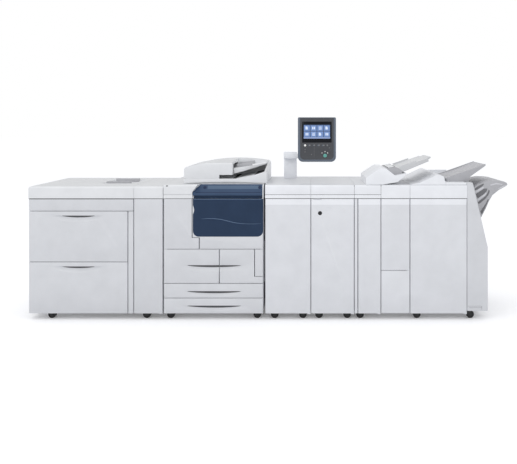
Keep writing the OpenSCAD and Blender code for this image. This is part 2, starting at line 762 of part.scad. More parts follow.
module dadf_base() color(pale) {
    top = dadf_z + dadf_slab_t;
    ridge_z = worktop_h + dadf_h;
    difference() {
        union() {
            // slab that closes on the glass
            translate([dadf_x, dadf_y, dadf_z]) cube([dadf_w, dadf_d, dadf_slab_t]);
            // arched ridge along the back
            front_extrude(ridge_y, ridge_d) crowned(dadf_x, dadf_x + dadf_w, dadf_z);
            // leaning cheek at the right end
            side_extrude(dadf_x + dadf_w - cheek_t, cheek_t) polygon([
                [dadf_y, dadf_z], [dadf_y, top + lip_h], [ridge_y - ridge_d / 2, ridge_z - cheek_drop],
                [ridge_y + over, ridge_z - cheek_drop], [ridge_y + over, dadf_z]
            ]);
            // lip that rises along the front towards the cheek
            front_extrude(dadf_y, cheek_t) polygon([
                [dadf_x + dadf_w - lip_w, top - over], [dadf_x + dadf_w - cheek_t, top + lip_h],
                [dadf_x + dadf_w, top + lip_h], [dadf_x + dadf_w, top - over]
            ]);
            // ramp of the exit tray
            front_extrude(dadf_y + cheek_t, ridge_y - dadf_y - cheek_t + over) polygon([
                [dadf_x + feed_head_w + cheek_t, top - over], [dadf_x + dadf_w - 2 * cheek_t, top + dadf_slab_t],
                [dadf_x + dadf_w - over, top + dadf_slab_t], [dadf_x + dadf_w - over, top - over]
            ]);
            for (x = dadf_hinge_xs, side = [-1, 1]) ear(x, side);
        }
        for (x = dadf_hinge_xs)
            translate([x - hinge_post_w, dadf_hinge_y, worktop_h + dadf_hinge_h]) rotate([0, 90, 0])
                cylinder(r = dadf_pin_r + pin_clear, h = 2 * hinge_post_w);
        // bowed lower front edge
        translate([dadf_x + dadf_w / 2, dadf_y - over, dadf_z - bow_r + bow_h]) rotate([-90, 0, 0])
            cylinder(r = bow_r, h = cheek_t, $fn = 360);
    }
    // lugs and rod of the feed cover's hinge
    for (y = lug_ys) side_lug(y, 0);
    translate([head_pin_x, lug_ys[0], head_pin_z]) rotate([-90, 0, 0])
        cylinder(r = head_pin_r, h = lug_ys[1] - lug_ys[0]);
}
bow_h = 12;
bow_r = (dadf_w * dadf_w / 4 + bow_h * bow_h) / (2 * bow_h);
module side_lug(y, bore) {
    r = 2 * head_pin_r;
    translate([head_pin_x - r, y, dadf_z + dadf_slab_t - over])
        cube([2 * r, lug_t, head_pin_z - dadf_z - dadf_slab_t + over]);
    translate([head_pin_x, y, head_pin_z]) rotate([-90, 0, 0]) cylinder(r = r, h = lug_t);
}
module ear(x, side) {
    x0 = x + side * (hinge_post_w / 2 + slide_gap) - (side < 0 ? ear_t : 0);
    side_extrude(x0, ear_t - slide_gap) {
        translate([dadf_hinge_y, worktop_h + dadf_hinge_h]) circle(hinge_post_r);
        translate([dadf_back_y - over, worktop_h + dadf_hinge_h - hinge_post_r])
            square([dadf_hinge_y - dadf_back_y + over, 2 * hinge_post_r]);
    }
}

// Feed cover: an arched shell over the feed rollers, hinged along its left edge
module head_side(inset, foot) {
    y0 = dadf_y + inset;
    z0 = worktop_h + dadf_front_h - inset;
    z1 = worktop_h + dadf_h - inset;
    nose = nose_r - inset;
    polygon(concat(
        [[ridge_y - slide_gap - inset, foot], [y0, foot]],
        arc(y0 + nose, z0 - nose, nose, 180, 100),
        arc(ridge_y - brow_in, z1 - brow_r, brow_r, brow_angle, 90),
        [[ridge_y - slide_gap - inset, z1]]
    ));
}
module head_block(inset, foot) {
    intersection() {
        front_extrude(dadf_y + inset, ridge_y - slide_gap - dadf_y - 2 * inset)
            crowned(dadf_x + inset, crown_x - inset, foot, inset, false);
        side_extrude(dadf_x, feed_head_w) head_side(inset, foot);
    }
}
module dadf_feed_cover() color(pale) {
    foot = dadf_z + dadf_slab_t + slide_gap;
    shell = 5;
    difference() {
        head_block(0, foot);
        head_block(shell, foot - over);
        // mouth of the exit tray
        translate([dadf_x + feed_head_w - mouth_w, dadf_y - over, foot - over])
            cube([mouth_w + over, ridge_y - dadf_y - 2 * cheek_t, mouth_h + over]);
        // mouth of the document tray
        translate([dadf_x + feed_head_w - 2 * shell, dadf_y + 4 * cheek_t, foot + 2 * dadf_slab_t - over])
            cube([3 * shell, ridge_y - dadf_y - 6 * cheek_t, dadf_slab_t]);
        // notches in which the lugs stand
        for (y = lug_ys) translate([dadf_x - over, y - slide_gap, foot - over])
            cube([head_pin_x - dadf_x + over, lug_t + 2 * slide_gap, head_pin_z - foot + 2 * head_pin_r + over]);
        // lower left edge rounded round the hinge rod
        translate([dadf_x - over, dadf_y - over, foot - over]) difference() {
            cube([head_pin_x - dadf_x + over, dadf_d, head_pin_z - foot + over]);
            translate([head_pin_x - dadf_x + over, -over, head_pin_z - foot + over]) rotate([-90, 0, 0])
                cylinder(r = head_pin_x - dadf_x, h = dadf_d + 2 * over);
        }
    }
    // knuckles on the hinge rod
    for (y = [lug_ys[0] + lug_t + slide_gap, lug_ys[1] - lug_t - slide_gap]) difference() {
        union() {
            translate([head_pin_x, y, head_pin_z]) rotate([-90, 0, 0]) cylinder(r = 2 * head_pin_r, h = lug_t);
            translate([dadf_x + over, y, head_pin_z]) cube([head_pin_x - dadf_x, lug_t, 2 * head_pin_r]);
        }
        translate([head_pin_x, y - over, head_pin_z]) rotate([-90, 0, 0])
            cylinder(r = head_pin_r + pin_clear, h = lug_t + 2 * over);
    }
}

// Document tray, leaning up to the right between the ridge and the feed head; its front edge sweeps back
tray_lean = 7;
tray_gap = 4;
doc_x = dadf_x + feed_head_w + tray_gap;
doc_above = 98;
doc_z = worktop_h + doc_above;
doc_l = dadf_w - feed_head_w - cheek_t - 2 * tray_gap;
doc_t = 9;
doc_from_front = 60;
doc_y = dadf_y + doc_from_front;
doc_edge_h = 30;
doc_sweep_shares = [[0, 0], [0.35, 0.08], [0.65, 0.26], [0.88, 0.5], [1, 0.66]];
module on_doc_tray() { translate([doc_x, doc_y, doc_z]) rotate([0, -tray_lean, 0]) children(); }
module doc_plan(inset = 0) {
    d = ridge_y - doc_y;
    polygon(concat([for (p = doc_sweep_shares) [doc_l * p[0], d * p[1] + inset]], [[doc_l, d], [0, d]]));
}
module document_tray() color(pale) on_doc_tray() {
    d = ridge_y - doc_y;
    difference() {
        linear_extrude(doc_t) doc_plan();
        // slots in which the guides run
        for (share = [0.3, 0.62]) translate([doc_l * 0.2, d * share, doc_t / 2])
            cube([doc_t, doc_guide_travel + 4 * doc_guide_t, doc_t]);
    }
    // turned-down front edge that thins out towards the right
    intersection() {
        translate([0, 0, -doc_edge_h]) linear_extrude(doc_edge_h + over) difference() {
            doc_plan();
            doc_plan(doc_t);
        }
        rotate([90, 0, 0]) translate([0, 0, -d]) linear_extrude(2 * d)
            polygon([[-over, -doc_edge_h], [doc_l, -over], [doc_l + over, 2 * over], [-over, 2 * over]]);
    }
}
doc_guide_l = 120;
doc_guide_h = 24;
doc_guide_t = 6;
doc_guide_travel = 55;
module document_guide(share) {
    d = ridge_y - doc_y;
    on_doc_tray() translate([doc_l * 0.06, d * share, doc_t + slide_gap]) {
        cube([doc_guide_l, doc_guide_t, doc_guide_h]);
        translate([0, share < 0.5 ? 0 : -3 * doc_guide_t, 0]) cube([doc_guide_l, 4 * doc_guide_t, doc_guide_t / 2]);
    }
}
module document_guide_front() color(grey) document_guide(0.24);
module document_guide_rear() color(grey) document_guide(0.94);

// Control panel on its post and arm
post_top_z = ui_z + post_above;
post_from_left = 113;
post_x = decurler_x + post_from_left;
post_from_back = 152;
post_y = front_y + finish_d - post_from_back;
post_d = 60;
post_r = 10;
post_cap_h = 50;
arm_w = 46;
arm_h = 40;
swivel_r = 20;
swivel_h = 16;
ui_from_left = 228;
ui_x = decurler_x + ui_from_left;
ui_before_post = 123;
ui_y = post_y - ui_before_post;
ui_r = 40;
ui_top_r = 10;
ui_rim = 18;
ui_face_in = 3;
tilt_r = 7;
tilt_above = 66;
tilt_z = ui_z + tilt_above;
tilt_from_front = 22;
tilt_y = ui_y + ui_t + tilt_from_front;
tilt_w = 60;
tilt_from_left = 92;
tilt_x = ui_x + tilt_from_left;
swivel_x = post_x + post_w / 2;
swivel_y = post_y + post_d / 2;

module rounded(x0, x1, z0, z1, r, top) {
    union() {
        translate([x0 + r, z0]) square([x1 - x0 - 2 * r, z1 - z0 - top]);
        translate([x0, z0 + r]) square([x1 - x0, z1 - z0 - r - top]);
        translate([x0 + top, z0 + r]) square([x1 - x0 - 2 * top, z1 - z0 - r]);
        for (x = [x0 + r, x1 - r]) translate([x, z0 + r]) circle(r);
        for (x = [x0 + top, x1 - top]) translate([x, z1 - top]) circle(top);
    }
}
module ui_post() color(white) {
    translate([post_x, post_y, worktop_h]) linear_extrude(post_top_z - post_cap_h - worktop_h) {
        translate([post_r, 0]) square([post_w - 2 * post_r, post_d]);
        translate([0, post_r]) square([post_w, post_d - 2 * post_r]);
        for (x = [post_r, post_w - post_r], y = [post_r, post_d - post_r]) translate([x, y]) circle(post_r);
    }
    translate([swivel_x, swivel_y, post_top_z - post_cap_h - over]) cylinder(r = swivel_r, h = swivel_h + over);
}
// Arm: a cap that turns on the post and reaches forward to the panel's tilting hinge
module ui_arm() color(white) {
    z = post_top_z - post_cap_h + slide_gap;
    beam_y = tilt_y + 2 * tilt_r + slide_gap;
    difference() {
        union() {
            front_extrude(post_y - seam / 2, post_d + seam)
                rounded(post_x - seam / 2, post_x + post_w + seam / 2, z, post_top_z, edge_r / 4, post_r);
            // beam behind the panel
            translate([swivel_x, beam_y, z]) cube([tilt_x + tilt_w / 2 - swivel_x, arm_w, arm_h]);
            // knuckle of the tilting hinge
            translate([tilt_x - tilt_w / 2, tilt_y, tilt_z]) rotate([0, 90, 0])
                cylinder(r = 2 * tilt_r, h = tilt_w);
            translate([tilt_x - tilt_w / 2, tilt_y, z]) cube([tilt_w, arm_w, tilt_z - z + tilt_r]);
            translate([post_x, beam_y, z]) cube([post_w, post_y - beam_y + over, arm_h]);
        }
        translate([swivel_x, swivel_y, z - over]) cylinder(r = swivel_r + pin_clear, h = swivel_h + over);
        translate([tilt_x - tilt_w, tilt_y, tilt_z]) rotate([0, 90, 0]) cylinder(r = tilt_r + pin_clear, h = 2 * tilt_w);
    }
}
start_from_left = 215;
start_x = ui_x + start_from_left;
start_above = 49;
start_z = ui_z + start_above;
screen_in = 34;
screen_above = 152;
screen_z = ui_z + screen_above;
screen_h = 166;
key_r = 6;
key_above = 130;
key_z = ui_z + key_above;
key_pitch = 36;
screen_t = 4;
module ui_panel() color(dark) {
    difference() {
        front_extrude(ui_y, ui_t) rounded(ui_x, ui_x + ui_w, ui_z, ui_z + ui_h, ui_r, ui_top_r);
        // sunk face inside the rim
        front_extrude(ui_y - over, ui_face_in + over)
            rounded(ui_x + ui_rim, ui_x + ui_w - ui_rim, ui_z + ui_rim, ui_z + ui_h - ui_rim / 3,
                ui_r - ui_rim / 2, ui_top_r / 2);
        translate([ui_x + screen_in, ui_y - over, screen_z])
            cube([ui_w - 2 * screen_in, ui_face_in + screen_t + over, screen_h]);
        translate([start_x, ui_y - over, start_z]) rotate([-90, 0, 0])
            cylinder(r = start_d / 2 + slide_gap, h = ui_face_in + 4 * start_travel + screen_t + over);
    }
    // row of keys under the screen
    for (i = [0 : 5]) translate([ui_x + screen_in + ui_rim + i * key_pitch, ui_y + ui_face_in + over, key_z])
        rotate([90, 0, 0]) cylinder(r = key_r, h = 2 * over);
    // ears and pin of the tilting hinge
    for (side = [-1, 1]) {
        x = tilt_x + side * (tilt_w / 2 + slide_gap) - (side < 0 ? ear_t : 0);
        side_extrude(x, ear_t) {
            translate([tilt_y, tilt_z]) circle(2 * tilt_r);
            translate([ui_y + ui_t - over, tilt_z - 2 * tilt_r]) square([tilt_y - ui_y - ui_t + over, 4 * tilt_r]);
        }
    }
    translate([tilt_x - tilt_w / 2 - ear_t, tilt_y, tilt_z]) rotate([0, 90, 0])
        cylinder(r = tilt_r, h = tilt_w + 2 * ear_t);
}
module ui_screen() color([0.36, 0.45, 0.62])
    translate([ui_x + screen_in + slide_gap, ui_y + ui_face_in, screen_z + slide_gap])
        cube([ui_w - 2 * (screen_in + slide_gap), screen_t, screen_h - 2 * slide_gap]);
module start_button() color([0.3, 0.62, 0.56])
    translate([start_x, ui_y + ui_face_in + 2 * start_travel + screen_t, start_z]) rotate([90, 0, 0])
        cylinder(r = start_d / 2, h = 3 * start_travel + screen_t);

// Finishing modules
finish_back_y = front_y + finish_d;
module finish_cabinet(x, w, liner_z = floor_z, trimmed = true) {
    difference() {
        carcass(x + slide_gap / 2, w - slide_gap, finish_d, worktop_h, floor_z, worktop_h - wall);
        // line between neighbouring worktops
        for (side = [x - over, x + w - seam / 4])
            translate([side, front_y, worktop_h - seam]) cube([seam / 4 + over, finish_d + over, seam + over]);
    }
    difference() {
        band(x + seam / 4, w - seam / 2, band_z, worktop_h);
        if (trimmed) shadow_line(x, w, band_z + trim_h);
    }
    liner(x + slide_gap / 2, w - slide_gap, liner_z - over, band_z - liner_vent);
}
module decurler_cabinet() color(white) {
    finish_cabinet(decurler_x, decurler_w);
    upper_pin(decurler_x, punch_x, band_z);
    lower_pin(decurler_x, punch_x, skirt_z);
}
module decurler_door() color(white) door(decurler_x, punch_x, skirt_z, band_z);

lock_from_left = 66;
lock_x = punch_x + lock_from_left;
lock_z = 766;
lock_r = 15;
lock_core_r = 7;
grip_r = 80;
grip_drop = 10;
grip_from_left = 47;
grip_x = punch_x + grip_from_left;
module punch_cabinet() color(white) {
    finish_cabinet(punch_x, punch_w);
    upper_pin(punch_x, inserter_x, band_z);
    lower_pin(punch_x, inserter_x, skirt_z);
}
module punch_door() color(white) difference() {
    door(punch_x, inserter_x, skirt_z, band_z);
    translate([lock_x, front_y - over, lock_z]) rotate([-90, 0, 0])
        cylinder(r = lock_core_r + pin_clear, h = panel_t + 2 * over);
    translate([lock_x, front_y - over, lock_z]) rotate([-90, 0, 0])
        cylinder(r = lock_r, h = line_depth + over);
    // finger dip along the door's upper edge
    translate([grip_x, front_y - over, band_z + grip_r - grip_drop]) rotate([-90, 0, 0])
        cylinder(r = grip_r, h = panel_t / 2);
}
module punch_lock() color(dark) translate([lock_x, front_y + line_depth, lock_z]) rotate([-90, 0, 0]) {
    difference() {
        translate([0, 0, -line_depth]) cylinder(r = lock_r - slide_gap, h = line_depth - slide_gap);
        translate([-over, -lock_core_r, -line_depth - over]) cube([2 * over, 2 * lock_core_r, 2 * over]);
    }
    translate([0, 0, -over]) cylinder(r = lock_core_r, h = panel_t - line_depth + 3 * over);
    // cam behind the door
    translate([-lock_core_r / 2, -lock_core_r * 2, panel_t - line_depth + over / 2])
        cube([lock_core_r, lock_core_r * 2, over]);
}

// Inserter: its hopper reaches over the folder
hopper_reach = 304;
hopper_h = 117;
hopper_d = 470;
inserter_door_in = 26;
module inserter_cabinet() color(white) {
    finish_cabinet(inserter_x, inserter_w);
    upper_pin(inserter_x, folder_x, band_z);
    lower_pin(inserter_x, folder_x, skirt_z);
    front_in(inserter_x, inserter_x + inserter_door_in, skirt_z, band_z);
    translate([inserter_x + seam, door_back_y - over, floor_z])
        cube([inserter_door_in - 2 * seam, door_gap + wall + over, band_z - floor_z]);
    front_extrude(front_y + seam, hopper_d) hopper_outline(worktop_h - over);
}
// Outlines over the worktop, as shares of the hopper's reach and height
hopper_shares = [
    [0.28, 0.42], [0.58, 0.95], [0.62, 1.0], [0.76, 0.98], [0.974, 0.545], [1.25, 0.68], [1.03, 0.16], [0.66, 0]
];
head_shares = [[0.974, 0.545], [0.8, 0.899], [0.82, 0.95], [1.01, 1.06], [1.18, 0.785], [1.16, 0.637]];
insert_shares = [[1.08, 0.947], [1.78, 1.59], [1.81, 1.4], [1.2, 0.742], [1.17, 0.801]];
tongue_shares = [[1.76, 1.56], [1.88, 1.67], [1.885, 1.6], [1.79, 1.42]];
function hopper_at(shares) = [for (p = shares) [inserter_x + hopper_reach * p[0], worktop_h + hopper_h * p[1]]];
module hopper_outline(foot) {
    base = worktop_h + slide_gap;
    difference() {
        polygon(concat([[inserter_x + hopper_reach * hopper_shares[0][0], foot]], hopper_at(hopper_shares)));
        // clear of the folder's worktop
        translate([folder_x - seam / 4, foot - over]) square([hopper_reach, base - foot + over]);
    }
}
module inserter_door() color(white) door(inserter_x + inserter_door_in, folder_x, skirt_z, band_z);

// Feed head in the hopper's notch, and the leaning tray that ends at it
insert_from_front = 75;
insert_y = front_y + insert_from_front;
insert_d = 380;
insert_rim = 12;
module inserter_feed_head() color(grey) difference() {
    translate([slide_gap, 0, slide_gap]) front_extrude(insert_y, insert_d) polygon(hopper_at(head_shares));
    // mouth that takes the sheets
    translate([inserter_x + hopper_reach, insert_y + 2 * insert_rim, worktop_h + hopper_h * 0.9])
        cube([hopper_reach * 0.05, insert_d - 4 * insert_rim, hopper_h]);
}
module inserter_tray() color(pale) translate([2 * slide_gap, 0, 2 * slide_gap]) {
    front_extrude(insert_y, insert_d) polygon(hopper_at(insert_shares));
    front_extrude(insert_y + 4 * insert_rim, insert_d - 8 * insert_rim) polygon(hopper_at(tongue_shares));
    // side guides
    for (y = [insert_y, insert_y + insert_d - insert_rim]) translate([0, 0, insert_rim])
        front_extrude(y, insert_rim) intersection() {
            polygon(hopper_at(insert_shares));
            square([inserter_x + hopper_reach * 1.5, 2 * worktop_h]);
        }
}

module folder_cabinet() color(white) {
    finish_cabinet(folder_x, folder_w, folder_split_z, trimmed = false);
    upper_pin(folder_x, finisher_x, band_z);
    lower_pin(folder_x, finisher_x, folder_split_z);
    translate([folder_x + over, face_y, folder_split_z - shelf_t / 2])
        cube([folder_w - 2 * over, finish_d - panel_t - door_gap - 2 * over, shelf_t]);
}
module folder_door() color(white) door(folder_x, finisher_x, folder_split_z, band_z);
module folder_tray() color(white) {
    front_in(folder_x, finisher_x, skirt_z, folder_split_z);
    drawer_body(folder_x + wall, finisher_x - wall, floor_z, folder_split_z - shelf_t / 2, finish_back_y - wall);
}

// Finisher
exit_from_left = 72;
exit_x = finisher_x + exit_from_left;
exit_peak_from_left = 205;
exit_peak_x = finisher_x + exit_peak_from_left;
exit_end_from_left = 259;
exit_end_x = finisher_x + exit_end_from_left;
exit_h = 72;
exit_r = 40;
exit_lip = 14;
hump_h = 13;
module finisher_cabinet() color(white) {
    finish_cabinet(finisher_x, finisher_w, trimmed = false);
    upper_pin(finisher_x, side_x, band_z);
    lower_pin(finisher_x, side_x, skirt_z);
    // raised exit unit: a long hump that ends at the top tray
    front_extrude(front_y + seam, finish_d - 2 * seam) polygon(concat(
        [[finisher_x + seam, worktop_h - over], [exit_x, worktop_h + hump_h]],
        arc(exit_peak_x, worktop_h + exit_h - exit_r, exit_r, 125, 70),
        [[exit_end_x - exit_lip, worktop_h + exit_h - exit_lip], [exit_end_x, worktop_h - over]]
    ));
    // low worktop and rear fence behind the top tray
    translate([exit_end_x - over, front_y + seam, worktop_h - over])
        cube([side_x - exit_end_x - seam, finish_d - 2 * seam, hump_h + over]);
    translate([exit_end_x - over, finish_back_y - 2 * panel_t, worktop_h])
        cube([side_x - exit_end_x - seam, panel_t, exit_h - hump_h]);
}
module finisher_door() color(white) door(finisher_x, side_x, skirt_z, band_z);

// Slanted cover: two cheeks and a low box; the stacker tray moves between the cheeks
cheek_front_d = 84;
side_top_in = 40;
well_z = 330;
module side_outline(inset = 0) {
    z1 = worktop_h + hump_h;
    polygon([
        [side_x + slide_gap / 2 + inset, base_z + inset], [end_x - inset, base_z + inset],
        [end_x - inset, side_bend_z], [side_x + side_top_in - inset, z1 - inset],
        [side_x + slide_gap / 2 + inset, z1 - inset]
    ]);
}
module finisher_side_cover() color(white) difference() {
    front_extrude(front_y, finish_d) side_outline();
    front_extrude(front_y + cheek_front_d, finish_d - 2 * cheek_front_d)
        translate([side_x - over, well_z]) square([side_w + 2 * over, worktop_h]);
    for (y = [front_y + wall, finish_back_y - cheek_front_d + wall])
        front_extrude(y, cheek_front_d - 2 * wall) side_outline(wall);
}

// Top tray: a leaning plate between two cheeks that stand on the low worktop
top_tray_from_front = 110;
top_tray_y = front_y + top_tray_from_front;
top_tray_d = 350;
top_tray_t = 12;
top_tray_reach = 290;
top_tray_h = 135;
cheek_shares = [[0.02, 0], [0.56, 0], [0.62, 0.28], [1, 0.86], [1, 0.96], [0, 0.2]];
plate_shares = [[0, 0.1], [0.5, 0.36], [1, 0.86], [1, 0.94], [0.4, 0.42], [0, 0.18]];
function top_tray_at(shares) = [for (p = shares)
    [exit_end_x + 2 * top_tray_t + top_tray_reach * p[0], worktop_h + hump_h + slide_gap + top_tray_h * p[1]]];
module finisher_top_tray() color(grey) {
    front_extrude(top_tray_y, top_tray_d) polygon(top_tray_at(plate_shares));
    for (y = [top_tray_y - over, top_tray_y + top_tray_d - top_tray_t + over])
        front_extrude(y, top_tray_t) polygon(top_tray_at(cheek_shares));
}

// Stacker tray: a bowed top on four curved ribs, carried by a carriage on the cabinet's end wall
stack_side_gap = 14;
stack_y = front_y + cheek_front_d + stack_side_gap;
stack_back_gap = 110;
stack_d = finish_d - 2 * cheek_front_d - stack_side_gap - stack_back_gap;
stack_t = 9;
rib_t = 10;
carriage_t = 20;
stack_root_x = side_x + slide_gap / 2;
stack_shares = [
    [0.2, 0.8], [0.3, 0.9], [0.45, 0.97], [0.6, 1.0], [0.78, 1.0], [0.92, 0.98], [0.98, 0.95], [1.0, 0.91],
    [0.96, 0.87], [0.8, 0.78], [0.656, 0.66], [0.57, 0.51], [0.498, 0.335], [0.392, 0.127], [0.36, 0.05]
];
stack_w = end_x + tray_reach - stack_root_x;
stack_h = 310;
stack_top = 20;
stack_z = worktop_h + stack_top - stack_h;
function stack_at(p) = [stack_root_x + stack_w * p[0], stack_z + stack_h * p[1]];
module stack_outline() polygon(concat(
    [[stack_root_x, stack_z + stack_h * 0.1], [stack_root_x, stack_z + stack_h * 0.7]],
    [for (p = stack_shares) stack_at(p)]
));
module stacker_tray() color(grey) {
    for (i = [0 : 3])
        front_extrude(stack_y + i * (stack_d - rib_t) / 3, rib_t) stack_outline();
    // bowed top
    front_extrude(stack_y, stack_d) difference() {
        stack_outline();
        translate([-stack_t / 3, -stack_t]) stack_outline();
        translate([stack_root_x - stack_w, stack_z - over]) square([2 * stack_w, stack_h * 0.6]);
    }
    // carriage
    translate([stack_root_x, stack_y, stack_z + stack_h * 0.1]) cube([carriage_t, stack_d, stack_h * 0.55]);
}

// Casters: a fork with its stem under the cabinet, and a wheel on a fixed axle
front_caster_from_front = 50;
front_caster_y = front_y + front_caster_from_front;
rear_caster_from_front = 640;
rear_caster_y = front_y + rear_caster_from_front;
caster_shares = [0.205, 0.41, 0.064, 0.936, 0.206, 0.827, 0.192, 0.843, 0.229, 0.133, 0.203];
caster_xs = [
    feeder_x + feeder_w * caster_shares[0], transfer_x + transfer_w * caster_shares[1],
    engine_x + engine_w * caster_shares[2], engine_x + engine_w * caster_shares[3],
    decurler_x + decurler_w * caster_shares[4], decurler_x + decurler_w * caster_shares[5],
    punch_x + punch_w * caster_shares[6], punch_x + punch_w * caster_shares[7],
    inserter_x + inserter_w * caster_shares[8], finisher_x + finisher_w * caster_shares[9],
    side_x + side_w * caster_shares[10]
];
fork_t = 3;
fork_gap = 0.5;
trail = 20;
module caster_forks() color(dark) for (x = caster_xs, y = [front_caster_y, rear_caster_y]) {
    half = wheel_w / 2 + fork_gap;
    plate_z = base_z - fork_t;
    for (side = [-1, 1])
        front_extrude(y + side * (half + fork_t / 2) - fork_t / 2, fork_t) polygon([
            [x - axle_r * 2, wheel_d / 2 - axle_r * 2], [x + axle_r * 2, wheel_d / 2 - axle_r * 2],
            [x + axle_r * 2, wheel_d / 2 + axle_r], [x, plate_z + fork_t], [x - 2 * trail, plate_z + fork_t]
        ]);
    translate([x - 2 * trail, y - half - over, plate_z]) cube([2 * trail, 2 * half + 2 * over, fork_t]);
    translate([x, y - half - fork_t, wheel_d / 2]) rotate([-90, 0, 0]) cylinder(r = axle_r, h = 2 * (half + fork_t));
}
module caster_wheels(i) color(dark) for (y = [front_caster_y, rear_caster_y])
    translate([caster_xs[i], y + wheel_w / 2, wheel_d / 2]) rotate([90, 0, 0]) difference() {
        cylinder(r = wheel_d / 2, h = wheel_w);
        translate([0, 0, -over]) cylinder(r = axle_r + pin_clear, h = wheel_w + 2 * over);
        // dished hub faces
        for (z = [-over, wheel_w - wheel_w / 8]) translate([0, 0, z])
            difference() {
                cylinder(r = wheel_d * 0.38, h = wheel_w / 8 + over);
                cylinder(r = axle_r * 2, h = wheel_w);
            }
    }

feeder_cabinet();
feeder_top_cover();
feeder_upper_drawer();
feeder_lower_drawer();
transfer_door();
bypass_guide_front();
bypass_guide_rear();
engine_cabinet();
engine_left_door();
engine_right_door();
blue_panel();
toner_cover();
toner_cartridges();
photoreceptor_drum();
fuser_unit();
tandem_tray_left();
tandem_tray_right();
paper_tray_3();
paper_tray_4();
scanner_housing();
platen_glass();
dadf_base();
dadf_feed_cover();
document_tray();
document_guide_front();
document_guide_rear();
ui_post();
ui_arm();
ui_panel();
ui_screen();
start_button();
decurler_cabinet();
decurler_door();
punch_cabinet();
punch_door();
punch_lock();
inserter_cabinet();
inserter_door();
inserter_feed_head();
inserter_tray();
folder_cabinet();
folder_door();
folder_tray();
finisher_cabinet();
finisher_door();
finisher_side_cover();
finisher_top_tray();
stacker_tray();
caster_forks();
caster_wheels(0);  // caster_wheels_1
caster_wheels(1);  // caster_wheels_2
caster_wheels(2);  // caster_wheels_3
caster_wheels(3);  // caster_wheels_4
caster_wheels(4);  // caster_wheels_5
caster_wheels(5);  // caster_wheels_6
caster_wheels(6);  // caster_wheels_7
caster_wheels(7);  // caster_wheels_8
caster_wheels(8);  // caster_wheels_9
caster_wheels(9);  // caster_wheels_10
caster_wheels(10);  // caster_wheels_11
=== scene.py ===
import json
import math

import bmesh
import bpy
from bpy.props import FloatProperty, FloatVectorProperty, PointerProperty
from mathutils import Matrix, Vector


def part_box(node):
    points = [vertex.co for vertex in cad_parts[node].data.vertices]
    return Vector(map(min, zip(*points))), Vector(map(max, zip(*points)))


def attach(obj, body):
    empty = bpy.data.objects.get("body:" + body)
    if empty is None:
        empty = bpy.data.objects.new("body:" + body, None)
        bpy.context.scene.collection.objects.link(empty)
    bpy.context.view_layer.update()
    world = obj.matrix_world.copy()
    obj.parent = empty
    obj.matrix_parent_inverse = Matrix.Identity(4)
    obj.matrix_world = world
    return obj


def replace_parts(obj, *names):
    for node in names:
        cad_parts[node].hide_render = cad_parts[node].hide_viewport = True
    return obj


bl_info = {
    "name": "Production printer",
    "version": (1, 0, 0),
    "blender": (4, 5, 0),
    "location": "3D View > Sidebar > Printer",
    "description": "Dresses the packed solids of a digital production printer and sets up its studio",
    "category": "Add Mesh",
}

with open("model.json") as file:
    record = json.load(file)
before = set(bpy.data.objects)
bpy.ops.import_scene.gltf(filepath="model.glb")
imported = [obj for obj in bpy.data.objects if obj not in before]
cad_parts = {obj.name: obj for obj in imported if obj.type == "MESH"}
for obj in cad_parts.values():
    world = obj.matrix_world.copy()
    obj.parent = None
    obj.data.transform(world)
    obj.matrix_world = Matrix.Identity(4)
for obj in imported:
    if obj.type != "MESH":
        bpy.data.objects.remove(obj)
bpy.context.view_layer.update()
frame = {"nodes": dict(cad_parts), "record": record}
BODY_OF = {n: b for b, ns in frame["record"]["behaviour"]["bodies"].items() for n in ns}
SLOT_OF = {s["node"]: s["material_slot"] for s in frame["record"]["subparts"]}
FRONT_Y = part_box("feeder_lower_drawer")[0].y  # face of the doors and drawer fronts
WORKTOP_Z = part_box("punch_cabinet")[1].z
HANDLE_IN = 0.364  # middle of the paper trays' scoops, from the engine's left side
CROWN_HIGHLIGHT = 0.042  # height of the painted highlight along the rounded top of the finishing doors
REAR_STEP = 0.0016  # the engine's back steps in by this under its rear plate
COVER_STEP = 0.0005  # faces that carry raised lines step back by this
BAND_LINE = 0.0042  # height of the painted shade line in the gap under the lids and worktop bands
SCANNER_LINE = 0.0032  # height of the painted shade line under the scanner housing
LINE_REACH = 0.006  # only faces this close behind the front take the painted shade line
SHARP_ANGLE = math.radians(35.0)  # edges that turn by more are shaded sharp
ROUNDED_ANGLE = math.radians(25.0)  # edges that turn by more are rounded
FLAT_ANGLE = math.radians(0.5)  # faces that turn by less become one
TO_FRONT = Matrix.Rotation(math.radians(90), 4, "X")  # turns a round shape to face the front


class PrinterSizes(bpy.types.PropertyGroup):
    """Sizes of the dressed details"""

    panel_edge: FloatProperty(name="Panel edge", description="Rounding along doors and drawer fronts",
                              default=0.0028, min=0.0005, max=0.006, unit="LENGTH")
    cover_edge: FloatProperty(name="Cover edge", description="Rounding along lids and worktops",
                              default=0.004, min=0.0005, max=0.008, unit="LENGTH")
    small_edge: FloatProperty(name="Small edge", description="Rounding along trays, guides and casters",
                              default=0.0012, min=0.0003, max=0.003, unit="LENGTH")
    grain_depth: FloatProperty(name="Grain depth", description="Depth of the moulded texture",
                               default=0.00012, min=0.0, max=0.001, unit="LENGTH")


